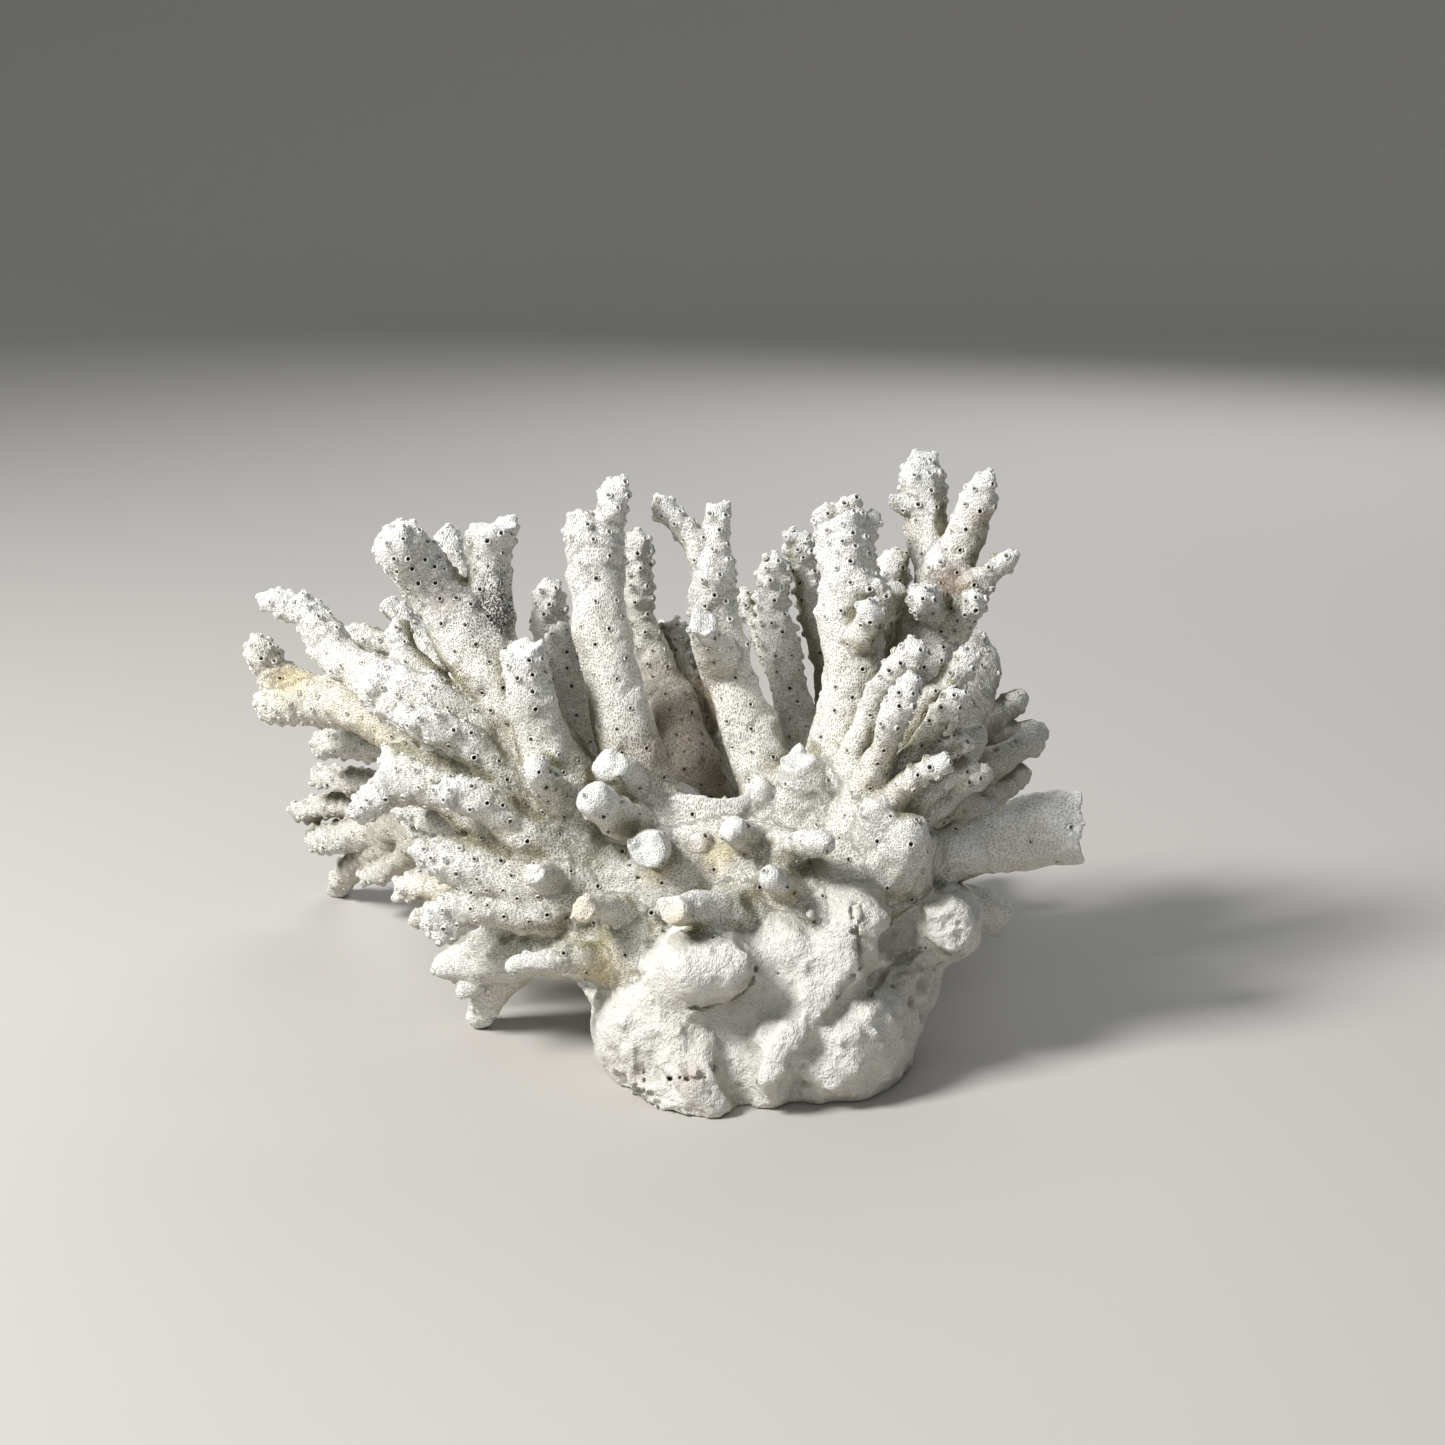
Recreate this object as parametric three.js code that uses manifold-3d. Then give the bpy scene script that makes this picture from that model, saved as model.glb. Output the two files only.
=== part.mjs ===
// Branching stony coral skeleton, bleached white, resting on the flat cut of its holdfast.
// Millimetres, +Z up. The holdfast faces -Y, and the branches spread left, right, up and back.

import * as THREE from 'three';
import { mergeVertices } from 'three/addons/utils/BufferGeometryUtils.js';
import Module from 'manifold-3d';

const wasm = await Module();
wasm.setup();

// Driving dimensions
const GAP = 0.3; // clear space kept between two neighbouring limbs
const THICK = 8.5; // a branch at least this thick at its root has six faces round it
const SLENDER = 4.1; // a branch thinner than this at its root has four
const STEP = 4; // longest distance between the rings of a branch, in branch radii
const TIP = 0.8; // how far a rounded tip stands past its last ring, in branch radii
const KNOB = 0.09; // height of the swellings on a branch, in branch radii
const KNOBS_ROUND = 3; // swellings round a branch
const KNOB_TWIST = 2.2; // turn of the swellings from one ring to the next, in radians
const CUP_RADIUS = 1.0; // a raised corallite cup at its mouth
const CUP_SPREAD = 1.25; // a cup's foot, in mouth radii
const CUP_HEIGHT = 1.3; // how far a cup stands out of its branch
const CUP_ROOT = 1.6; // how far a cup reaches into its branch
const CUP_SIDES = 4;
const CUP_TURN = 2.4; // angle from one cup to the next round a branch, in radians
const CUP_LEAN = 0.5; // how much a cup leans towards the branch's tip
const CUPS_FROM = 0.35; // share of the branch's length at which its cups begin
const CUPS_TO = 0.95; // share at which they end
const LUMP_DETAIL = 1; // subdivision of a mass or lump of the holdfast
const LUMP_ROUGHNESS = 0.05; // unevenness of a lump, in lump radii
const TABLE_REACH = 400; // side of the block of space above the table

// Ways in which a branch ends
const ROUND = 'round';
const BROKEN = 'broken';

// Colours of the skeleton, from the chalky tips to the stained rear
const CHALK = 0xefeee8;
const BONE = 0xe4e1d4;
const CREAM = 0xddd3b4;
const DUSTY = 0xc9c4b2;

// A branch is a path of stations, each [x, y, z, radius], from its root to its tip
const round = (cups, ...stations) => ({ cups, stations, end: ROUND });
const broken = (cups, ...stations) => ({ cups, stations, end: BROKEN });

// The holdfast is a heap of lumps, each [x, y, z, radius x, radius y, radius z]
const HOLDFAST_LUMPS = [
  [8, -33, 12, 29, 27, 25], // body
  [6, -8, 12, 26, 20, 20], // rear of the body
  [19, -45, 8, 16, 17, 16], // smooth slab on the right
  [-3, -53, 23, 11, 10, 9], // bulge on the front
  [-12, -46, 9, 12, 13, 13], // left flank
  [-4, -55, 4, 11, 11, 12], // front toe
  [8, -57, 8, 6, 8, 11], // tooth beside the toe
  [40, -37, 26, 9, 10, 8], // fractured block
  [32, -36, 14, 9, 11, 11], // right flank
  [24, -50, 29, 7, 8, 8], // ear-shaped fold
  [12, -52, 24, 8, 8, 9], // ridge under the crown
  [-18, -38, 21, 9, 10, 12], // shoulder above the arch
];

// The limbs, in the order in which they part from one another
const LIMBS = {
  crown: {
    colour: CHALK,
    branches: [
      round(0, [14, -38, 22, 14], [7, -36, 33, 12.5], [-8, -35, 35, 11], [-22, -36, 32, 9]),
      round(0, [10, -30, 30, 15], [12, -24, 42, 10], [12, -20, 48, 6]),
      round(0, [15, -38, 25, 12], [23, -36, 35, 11], [32, -34, 38, 8.5]),
      round(0, [-10, -28, 34, 12], [-8, -22, 44, 8], [-8, -20, 49, 5]),
      broken(0, [-12, -30, 38, 5.5], [-13, -40, 43, 4], [-14, -47, 45, 3.6]),
      broken(0, [5, -28, 42, 5], [2, -42, 47, 3.2], [2, -50, 49, 3]),
      broken(0, [-26, -34, 33, 5.5], [-32, -45, 38, 3.4], [-34, -51, 41, 2.6]),
      broken(0, [-17, -40, 30, 5.5], [-24, -56, 37, 3]),
      broken(0, [0, -48, 33, 5], [-7, -62, 39, 2.6]),
      round(0, [-16, -30, 44, 4.6], [-22, -42, 52, 3], [-25, -48, 53, 2.2]),
      round(0, [-17, -28, 46, 4], [-20, -36, 56, 3], [-21, -40, 60, 2.4]),
      round(0, [-4, -28, 36, 7], [-6, -25, 50, 4.2]),
      round(0, [2, -28, 38, 6], [3, -25, 50, 3]),
      round(0, [8, -32, 42, 4.4], [8, -31, 52, 2.2]),
      round(0, [13, -33, 38, 7.5], [15, -29, 48, 5.6], [18, -27, 55, 3.4]),
      round(0, [12, -38, 41, 4.4], [18, -53, 47, 2.6]),
      round(0, [27, -36, 38, 6.8], [28, -45, 49, 4]),
      round(0, [30, -40, 38, 6.4], [32, -54, 48, 4]),
      round(0, [12, -46, 36, 4], [8, -57, 43, 2.2]),
    ],
  },
  tall_left_branch: {
    colour: CHALK,
    branches: [
      round(
        5,
        [-12, -33, 39, 8.4],
        [-17, -28, 57, 6.8],
        [-21, -24, 72, 5.8],
        [-23, -20, 83, 5.5],
        [-23, -17, 94, 5.2],
        [-22, -16, 100, 3.8],
        [-20, -15, 105, 2.2],
      ),
      round(0, [-23, -17, 88, 5.2], [-26, -16, 97, 3.6]),
    ],
  },
  upper_left_limb: {
    colour: CHALK,
    branches: [
      round(
        4,
        [-20, -30, 38, 9],
        [-31, -28, 52, 7.9],
        [-39, -26, 66, 7.1],
        [-47, -23, 77, 6.6],
        [-53, -21, 85, 5.8],
        [-57, -23, 92, 4.9],
        [-59, -25, 96, 4.4],
      ),
      broken(2, [-44, -23, 73, 5.6], [-44, -20, 85, 4.2], [-44, -18, 93, 4.1], [-44, -18, 98, 4.8]),
      round(0, [-49, -14, 78, 4.2], [-52, -4, 86, 3.4], [-54, 0, 92, 2.8]),
      broken(1, [-28, -33, 47, 7], [-34, -33, 64, 5], [-37, -33, 78, 4]),
      broken(0, [-30, -36, 49, 4], [-33, -48, 59, 2.5]),
    ],
  },
  left_blade: {
    colour: CHALK,
    branches: [
      round(
        0,
        [-24, -31, 36, 8.4],
        [-36, -30, 47, 7.6],
        [-46, -28, 58, 6.8],
        [-55, -26, 65, 6.4],
        [-63, -24, 69, 5],
      ),
      round(0, [-55, -25, 66, 5.6], [-60, -22, 74, 3], [-61, -21, 79, 1.6]),
    ],
  },
  left_wing_tip: {
    colour: CHALK,
    branches: [
      round(
        2,
        [-62, -22, 68, 4.6],
        [-71, -16, 70, 4],
        [-77, -10, 74, 3.5],
        [-82, -6, 79, 3.2],
        [-88, -4, 81, 2.4],
      ),
      round(0, [-76, -11, 73, 3.4], [-81, -8, 81, 2.5]),
    ],
  },
  far_left_limb: {
    colour: CREAM,
    branches: [
      round(
        2,
        [-42, -18, 46, 6.4],
        [-56, -8, 52, 5.6],
        [-69, 1, 56, 5.4],
        [-82, 7, 58, 5.2],
        [-92, 10, 57, 3.8],
      ),
      round(0, [-82, 8, 58, 5], [-91, 12, 61, 4.5], [-94, 12, 67, 3.2]),
    ],
  },
  far_left_twig: {
    colour: BONE,
    branches: [
      round(
        0,
        [-44, -4, 48, 5.2],
        [-51, 10, 57, 4.2],
        [-58, 16, 64, 3.6],
        [-64, 20, 68, 3],
        [-67, 22, 73, 2.3],
      ),
      round(0, [-64, 20, 67, 2.6], [-69, 22, 74, 2]),
      round(0, [-58, 16, 63, 3.4], [-70, 20, 67, 2.8], [-78, 22, 68, 2.6]),
    ],
  },
  left_low_limb: {
    colour: CHALK,
    branches: [
      round(
        0,
        [-27, -35, 36, 7.4],
        [-41, -34, 45, 5.8],
        [-52, -32, 52, 5.2],
        [-60, -31, 52, 4.2],
        [-67, -32, 47, 2.2],
      ),
      round(0, [-36, -32, 46, 5], [-46, -34, 59, 3.8], [-52, -35, 64, 3], [-58, -35, 66, 1.8]),
      round(0, [-33, -38, 41, 5.6], [-42, -41, 50, 3.8], [-47, -42, 53, 3.3], [-52, -43, 53, 2]),
      round(0, [-53, -30, 54, 4.1], [-61, -27, 55, 2.6]),
    ],
  },
  left_fringe: {
    colour: CHALK,
    branches: [
      round(0, [-25, -39, 32, 7], [-38, -40, 36, 5.4], [-48, -40, 39, 4.2], [-55, -40, 41, 2.4]),
      round(0, [-32, -41, 30, 4.6], [-42, -42, 31, 3.2], [-50, -42, 31, 2.8], [-54, -42, 28, 1.9]),
      round(0, [-46, -41, 31, 2.8], [-52, -42, 26, 2.4]),
      round(0, [-38, -36, 36, 4.5], [-51, -24, 41, 3], [-62, -18, 43, 1.9]),
      round(0, [-39, -36, 32, 3.8], [-53, -20, 37, 2.4], [-62, -14, 38, 1.8]),
    ],
  },
  left_fringe_rear: {
    colour: CREAM,
    branches: [
      round(0, [-34, -30, 30, 5], [-45, -24, 29, 4.2], [-57, -14, 25, 2.8], [-65, -10, 24, 2]),
      round(0, [-46, -24, 28, 3], [-59, -20, 21, 1.9]),
    ],
  },
  foot_branch: {
    colour: BONE,
    branches: [
      round(0, [-17, -45, 24, 7.6], [-30, -38, 22, 5.4], [-43, -30, 17, 4.6], [-53, -27, 14, 3.2]),
      broken(0, [-40, -29, 17, 4.4], [-45, -25, 8, 3.7], [-47, -24, 1, 3.6], [-47, -24, -3, 3.6]),
      round(0, [-45, -28, 14, 3], [-50, -30, 10, 1.6]),
      round(0, [-33, -38, 26, 3], [-40, -34, 25, 2.3], [-46, -32, 21, 1.6]),
      round(0, [-19, -47, 22, 4.4], [-28, -52, 25, 2.6], [-38, -53, 24, 1.6]),
    ],
  },
  rear_left_limb: {
    colour: DUSTY,
    branches: [
      round(
        0,
        [-34, -18, 35, 7],
        [-52, 5, 34, 5.8],
        [-69, 25, 27, 5.2],
        [-82, 38, 19, 3.8],
        [-90, 42, 17, 2.6],
      ),
      round(0, [-50, 2, 37, 4.6], [-57, 6, 45, 3.9], [-72, 20, 45, 3], [-85, 28, 43, 2.3]),
      round(0, [-60, 14, 32, 4.2], [-77, 32, 33, 2.8], [-88, 38, 33, 2]),
      round(0, [-69, 25, 26, 3.9], [-83, 40, 26, 2.8], [-95, 46, 22, 2.2]),
      broken(0, [-70, 26, 23, 4], [-82, 44, 11, 3], [-88, 54, 1, 2.6], [-89, 56, -3, 2.6]),
      round(0, [-62, 15, 26, 3.6], [-72, 28, 15, 2.5], [-78, 36, 11, 2]),
    ],
  },
  tall_centre_branch: {
    colour: CHALK,
    branches: [
      round(
        3,
        [14, -29, 40, 8.2],
        [8, -22, 51, 6.9],
        [4, -18, 62, 5.9],
        [1, -15, 72, 5],
        [-2, -13, 82, 4.4],
        [-2, -12, 91, 4],
      ),
      round(1, [-3, -12, 90, 3.4], [-7, -11, 96, 2.5], [-11, -10, 100, 2]),
      round(1, [-2, -12, 90, 3.4], [-1, -11, 99, 2.4]),
      broken(0, [0, -16, 73, 4.4], [-3, -24, 81, 3.5], [-3, -28, 85, 3.1]),
    ],
  },
  rear_centre_right_branch: {
    colour: BONE,
    branches: [
      round(0, [18, -16, 40, 7], [15, 0, 55, 5.2], [12, 5, 68, 4.2], [10, 7, 78, 3.8], [10, 8, 85, 2.5]),
      round(0, [13, 6, 63, 3.4], [9, 14, 70, 2.7], [5, 16, 77, 2]),
    ],
  },
  rear_right_twig: {
    colour: BONE,
    branches: [round(0, [24, -10, 44, 5.1], [21, 12, 64, 3.3], [18, 15, 77, 2.9], [15, 16, 89, 2.2])],
  },
  rear_centre_left_branch: {
    colour: DUSTY,
    branches: [
      round(
        0,
        [-3, -16, 38, 6.6],
        [-10, 8, 57, 4.5],
        [-15, 12, 69, 3.7],
        [-17, 13, 79, 2.8],
        [-17, 14, 89, 1.9],
      ),
      round(0, [-6, 0, 45, 4.4], [-10, 15, 57, 3.7], [-11, 20, 68, 2.7]),
    ],
  },
  rear_left_pair: {
    colour: BONE,
    branches: [
      round(0, [-20, -16, 38, 6.6], [-30, 3, 59, 4.4], [-34, 8, 70, 3.6], [-35, 8, 80, 2.8]),
      round(0, [-22, -16, 42, 5.5], [-29, -9, 59, 3.9], [-31, -7, 73, 3.4]),
    ],
  },
  right_centre_limb: {
    colour: CHALK,
    branches: [
      broken(
        3,
        [20, -32, 37, 9],
        [23, -26, 52, 7.6],
        [25, -22, 65, 6.4],
        [25, -19, 76, 6.2],
        [24, -17, 86, 5.8],
        [23, -15, 94, 5.2],
        [22, -14, 99, 4.6],
      ),
      broken(0, [22, -14, 95, 4], [18, -14, 101, 2]),
      broken(0, [23, -14, 96, 3.6], [24, -14, 103, 1.6]),
      round(0, [25, -15, 95, 3.4], [29, -14, 99, 1.6]),
      broken(0, [26, -19, 80, 5], [31, -20, 87, 3]),
      round(0, [28, -14, 67, 4.6], [33, 0, 78, 3.4], [34, 2, 87, 2.6]),
      round(0, [26, -24, 78, 3.4], [27, -32, 85, 2.2]),
    ],
  },
  right_tall_limb: {
    colour: CHALK,
    branches: [
      round(
        1,
        [29, -25, 40, 8],
        [35, -16, 60, 7.2],
        [38, -13, 72, 6.8],
        [42, -11, 82, 6.2],
        [43, -10, 89, 5],
      ),
      round(3, [42, -9, 86, 5], [39, -5, 97, 4.1], [39, -3, 103, 4.1], [39, -2, 107, 3.2]),
      round(0, [39, -5, 100, 2.7], [34, -6, 100, 1.8]),
      round(2, [44, -11, 87, 4.3], [47, -12, 98, 3.4], [50, -13, 106, 2.7]),
      round(1, [44, -13, 81, 4.4], [50, -16, 88, 2.9], [54, -17, 91, 2]),
      round(0, [40, -16, 82, 4], [37, -26, 86, 2.6]),
      round(0, [44, -16, 79, 3.4], [47, -24, 85, 2.2]),
    ],
  },
  right_finger_cluster: {
    colour: CHALK,
    branches: [
      round(0, [24, -36, 40, 7], [28, -37, 53, 5.4]),
      round(0, [24, -33, 55, 4.6], [30, -33, 70, 3.2], [35, -35, 77, 2.1]),
      round(0, [28, -35, 52, 4.3], [37, -34, 67, 2.7], [45, -34, 76, 1.9]),
      round(0, [27, -39, 54, 4.2], [30, -46, 67, 2.9], [33, -49, 75, 2]),
      round(0, [31, -39, 54, 3.2], [38, -40, 65, 2.1], [42, -42, 71, 1.5]),
      round(0, [30, -39, 51, 3.4], [37, -40, 58, 2.4], [43, -41, 62, 1.8]),
      round(0, [29, -40, 49, 3.4], [35, -46, 58, 2], [39, -48, 60, 1.6]),
      round(0, [29, -37, 45, 4.3], [40, -38, 54, 2.3], [45, -40, 58, 1.5]),
      round(0, [30, -35, 44, 4.4], [43, -31, 50, 2.7], [49, -30, 53, 1.8]),
    ],
  },
  right_rear_plate: {
    colour: DUSTY,
    branches: [
      round(0, [28, -22, 36, 8.6], [44, 2, 42, 7], [50, 18, 52, 5.9], [53, 24, 61, 5], [55, 26, 65, 3]),
      round(0, [50, 12, 48, 4.8], [58, 22, 51, 3.2], [62, 24, 54, 2.3]),
      round(0, [49, 8, 44, 4.5], [61, 20, 47, 2.8], [67, 24, 47, 2]),
      round(0, [45, 0, 41, 4.8], [58, 6, 47, 2.9], [64, 8, 49, 2.2]),
      round(0, [44, -4, 39, 5], [56, 8, 39, 3.3], [61, 12, 41, 2.6]),
      round(0, [42, -8, 39, 4.5], [53, -2, 38, 2.4]),
      round(0, [43, -4, 45, 4.4], [50, -4, 53, 2.6]),
    ],
  },
  right_stub: {
    colour: CHALK,
    branches: [
      round(0, [25, -36, 34, 7.6], [40, -34, 39, 5.6], [52, -33, 40, 5]),
      broken(0, [48, -33, 40, 5], [60, -31, 44, 4], [67, -30, 48, 2.8]),
      broken(0, [48, -33, 39, 4.8], [58, -34, 39, 3.8], [65, -35, 38, 2.4]),
      broken(0, [49, -33, 40, 4.7], [61, -32, 41.5, 4], [65, -32, 42, 3.4]),
    ],
  },
  right_low_stub: {
    colour: BONE,
    branches: [round(0, [29, -32, 27, 7.5], [44, -22, 24, 5.2], [53, -18, 21, 3.8])],
  },
  rear_low_left_limb: {
    colour: DUSTY,
    branches: [
      round(0, [-12, -14, 28, 8.5], [-32, 14, 27, 6.5], [-44, 36, 22, 5], [-52, 50, 19, 3.4]),
      round(0, [-32, 14, 27, 5], [-26, 34, 26, 3.8], [-24, 45, 26, 2.8]),
      round(0, [-44, 36, 22, 4], [-41, 52, 18, 3.2], [-38, 62, 16, 2.4]),
      broken(0, [-40, 28, 23, 4.2], [-44, 38, 11, 3.4], [-46, 42, 1, 3.2], [-46, 43, -3, 3.2]),
    ],
  },
  rear_middle_limb: {
    colour: DUSTY,
    branches: [
      round(0, [5, -8, 28, 9.5], [0, 15, 30, 7.5], [-8, 35, 27, 6], [-16, 54, 22, 4.2]),
      round(0, [0, 15, 30, 5.5], [7, 33, 29, 4], [10, 46, 28, 3]),
      round(0, [-8, 35, 27, 4.6], [-21, 43, 27, 3.2], [-30, 50, 27, 2.4]),
      round(0, [-12, 44, 25, 4.2], [-6, 57, 20, 3.2], [-2, 66, 18, 2.4]),
      broken(0, [-3, 24, 27, 5], [-6, 36, 13, 4], [-7, 42, 2, 3.6], [-7, 43, -3, 3.6]),
    ],
  },
  rear_right_limb: {
    colour: DUSTY,
    branches: [
      round(0, [17, -12, 28, 10], [28, 8, 28, 8], [36, 26, 24, 6.5], [42, 42, 19, 5], [46, 53, 17, 3.4]),
      round(0, [32, 16, 27, 5.2], [46, 24, 25, 3.8], [53, 28, 24, 2.6]),
      round(0, [34, 24, 25, 5.2], [27, 42, 24, 3.8], [23, 55, 23, 2.6]),
      round(0, [40, 36, 20, 4.6], [51, 38, 16, 3.2], [58, 39, 15, 2.2]),
      broken(0, [37, 30, 22, 5], [42, 39, 10, 4], [44, 44, 1, 3.6], [44, 45, -3, 3.6]),
    ],
  },
};

// Solid from vertex positions and triangles
function solid(positions, triangles) {
  return new wasm.Manifold(
    new wasm.Mesh({
      numProp: 3,
      vertProperties: new Float32Array(positions),
      triVerts: new Uint32Array(triangles),
    }),
  );
}

// Solid from a closed three.js geometry
function solidOf(geometry) {
  geometry.deleteAttribute('normal');
  geometry.deleteAttribute('uv');
  const merged = mergeVertices(geometry, 1e-4);
  return solid(merged.attributes.position.array, merged.index.array);
}

// Stations along a branch's smooth path, close enough together for its thickness
function stationsAlong({ stations }, grow) {
  const points = stations.map(([x, y, z]) => new THREE.Vector3(x, y, z));
  const curve = new THREE.CatmullRomCurve3(points, false, 'centripetal');
  const last = stations.length - 1;
  const result = [];
  for (let i = 0; i < last; i += 1) {
    const [rootRadius, tipRadius] = [stations[i][3], stations[i + 1][3]];
    const length = points[i].distanceTo(points[i + 1]);
    const pieces = Math.max(1, Math.round((2 * length) / (STEP * (rootRadius + tipRadius))));
    for (let k = i === 0 ? 0 : 1; k <= pieces; k += 1) {
      const share = k / pieces;
      result.push({
        centre: curve.getPoint((i + share) / last),
        radius: THREE.MathUtils.lerp(rootRadius, tipRadius, share) + grow,
      });
    }
  }
  result.forEach((station, i) => {
    const before = result[Math.max(0, i - 1)].centre;
    const after = result[Math.min(result.length - 1, i + 1)].centre;
    station.along = after.clone().sub(before).normalize();
  });
  return result;
}

// Number of faces round a branch
function sidesOf({ stations }) {
  const root = stations[0][3];
  if (root >= THICK) return 6;
  return root >= SLENDER ? 5 : 4;
}

// Radius of a regular polygon that has the area of a circle of radius 1
function fullnessOf(sides) {
  return Math.sqrt((2 * Math.PI) / (sides * Math.sin((2 * Math.PI) / sides)));
}

// A closed knobbly tube along a branch, with a rounded or a broken tip
function branchSolid(branch, grow) {
  const rings = stationsAlong(branch, grow);
  const sides = sidesOf(branch);
  const fullness = fullnessOf(sides);
  const tip = rings[rings.length - 1];
  const seed = branch.stations[0][0] + branch.stations[0][2];
  const positions = [];
  const triangles = [];
  let side = new THREE.Vector3(0.3, 0.9, 0.2);
  rings[0].centre.addScaledVector(rings[0].along, -grow);
  if (branch.end === BROKEN) {
    tip.centre.addScaledVector(tip.along, grow);
  }
  rings.forEach((ring, i) => {
    side = side.clone().addScaledVector(ring.along, -side.dot(ring.along)).normalize();
    const up = new THREE.Vector3().crossVectors(ring.along, side);
    for (let j = 0; j < sides; j += 1) {
      const angle = (2 * Math.PI * (j + (i % 2) / 2)) / sides;
      const swelling = 1 + KNOB * Math.sin(KNOBS_ROUND * angle + KNOB_TWIST * i + seed);
      const reach = ring.radius * fullness * swelling;
      const point = ring.centre
        .clone()
        .addScaledVector(side, Math.cos(angle) * reach)
        .addScaledVector(up, Math.sin(angle) * reach);
      positions.push(point.x, point.y, point.z);
    }
  });
  for (let i = 0; i < rings.length - 1; i += 1) {
    const near = i * sides;
    const far = near + sides;
    const shift = i % 2;
    for (let j = 0; j < sides; j += 1) {
      const next = (j + 1) % sides;
      const farNear = far + ((j + shift) % sides);
      const farNext = far + ((j + 1 + shift) % sides);
      triangles.push(near + j, near + next, farNear, near + next, farNext, farNear);
    }
  }
  for (let j = 1; j < sides - 1; j += 1) {
    triangles.push(0, j + 1, j);
  }
  const last = (rings.length - 1) * sides;
  if (branch.end === BROKEN) {
    for (let j = 1; j < sides - 1; j += 1) {
      triangles.push(last, last + j, last + j + 1);
    }
    return solid(positions, triangles);
  }
  const apex = tip.centre.clone().addScaledVector(tip.along, tip.radius * TIP);
  positions.push(apex.x, apex.y, apex.z);
  for (let j = 0; j < sides; j += 1) {
    triangles.push(last + j, last + ((j + 1) % sides), last + sides);
  }
  return solid(positions, triangles);
}

// A corallite cup: a small frustum that leans out of the branch towards its tip
function cupSolid(foot, outward, grow) {
  const across = new THREE.Vector3(0.31, 0.52, 0.79).cross(outward).normalize();
  const up = new THREE.Vector3().crossVectors(outward, across);
  const rings = [
    [-CUP_ROOT, CUP_RADIUS * CUP_SPREAD + grow],
    [CUP_HEIGHT + grow, CUP_RADIUS + grow],
  ];
  const positions = [];
  for (const [distance, radius] of rings) {
    for (let j = 0; j < CUP_SIDES; j += 1) {
      const angle = (2 * Math.PI * j) / CUP_SIDES;
      const point = foot
        .clone()
        .addScaledVector(outward, distance)
        .addScaledVector(across, Math.cos(angle) * radius)
        .addScaledVector(up, Math.sin(angle) * radius);
      positions.push(point.x, point.y, point.z);
    }
  }
  const triangles = [];
  for (let j = 0; j < CUP_SIDES; j += 1) {
    const next = (j + 1) % CUP_SIDES;
    triangles.push(j, next, CUP_SIDES + j, next, CUP_SIDES + next, CUP_SIDES + j);
  }
  for (let j = 1; j < CUP_SIDES - 1; j += 1) {
    triangles.push(0, j + 1, j, CUP_SIDES, CUP_SIDES + j, CUP_SIDES + j + 1);
  }
  return solid(positions, triangles);
}

// The cups of a branch, spiralling over its outer part
function cupSolids(branch, grow) {
  const rings = stationsAlong(branch, 0);
  const solids = [];
  for (let k = 0; k < branch.cups; k += 1) {
    const place = THREE.MathUtils.lerp(CUPS_FROM, CUPS_TO, (k + 0.5) / branch.cups) * (rings.length - 1);
    const ring = rings[Math.floor(place)];
    const next = rings[Math.min(rings.length - 1, Math.floor(place) + 1)];
    const share = place - Math.floor(place);
    const centre = ring.centre.clone().lerp(next.centre, share);
    const radius = THREE.MathUtils.lerp(ring.radius, next.radius, share);
    const angle = CUP_TURN * k + branch.stations[0][0];
    const outward = new THREE.Vector3(Math.sin(angle), -Math.cos(angle), 0);
    outward.addScaledVector(ring.along, -outward.dot(ring.along)).normalize();
    const foot = centre.addScaledVector(outward, radius * (1 - KNOB));
    outward.addScaledVector(ring.along, CUP_LEAN).normalize();
    solids.push(cupSolid(foot, outward, grow));
  }
  return solids;
}

// A rounded, slightly uneven lump of the holdfast
function lumpSolid([x, y, z, rx, ry, rz], grow) {
  const geometry = new THREE.IcosahedronGeometry(1, LUMP_DETAIL);
  const position = geometry.attributes.position;
  const point = new THREE.Vector3();
  for (let i = 0; i < position.count; i += 1) {
    point.fromBufferAttribute(position, i);
    const wave = Math.sin(4 * point.x + x) + Math.sin(5 * point.y + y) + Math.sin(4 * point.z + z);
    const swell = 1 + LUMP_ROUGHNESS * wave;
    position.setXYZ(
      i,
      x + point.x * (rx * swell + grow),
      y + point.y * (ry * swell + grow),
      z + point.z * (rz * swell + grow),
    );
  }
  return solidOf(geometry);
}

// Everything above the table
const aboveTable = solidOf(
  new THREE.BoxGeometry(TABLE_REACH, TABLE_REACH, TABLE_REACH).translate(0, 0, TABLE_REACH / 2),
);

// Joins a list of solids and cuts them off flat at the table
function joined(solids) {
  return solids.reduce((whole, piece) => whole.add(piece)).intersect(aboveTable);
}

function holdfastSolid(grow) {
  return joined(HOLDFAST_LUMPS.map((lump) => lumpSolid(lump, grow)));
}

function limbSolid({ branches }, grow) {
  return joined(branches.flatMap((branch) => [branchSolid(branch, grow), ...cupSolids(branch, grow)]));
}

// The one body that is left when neighbours have cut a limb, without its crumbs
function largest(whole) {
  return whole.decompose().reduce((best, piece) => (piece.volume() > best.volume() ? piece : best));
}

function stoneMaterial(colour) {
  return new THREE.MeshStandardMaterial({ color: colour, roughness: 0.92, metalness: 0 });
}

function addMesh(group, name, shape, colour) {
  const { vertProperties, triVerts } = shape.getMesh();
  const geometry = new THREE.BufferGeometry();
  geometry.setAttribute('position', new THREE.BufferAttribute(vertProperties, 3));
  geometry.setIndex(new THREE.BufferAttribute(triVerts, 1));
  geometry.computeVertexNormals();
  const mesh = new THREE.Mesh(geometry, stoneMaterial(colour));
  mesh.name = name;
  group.add(mesh);
}

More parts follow.
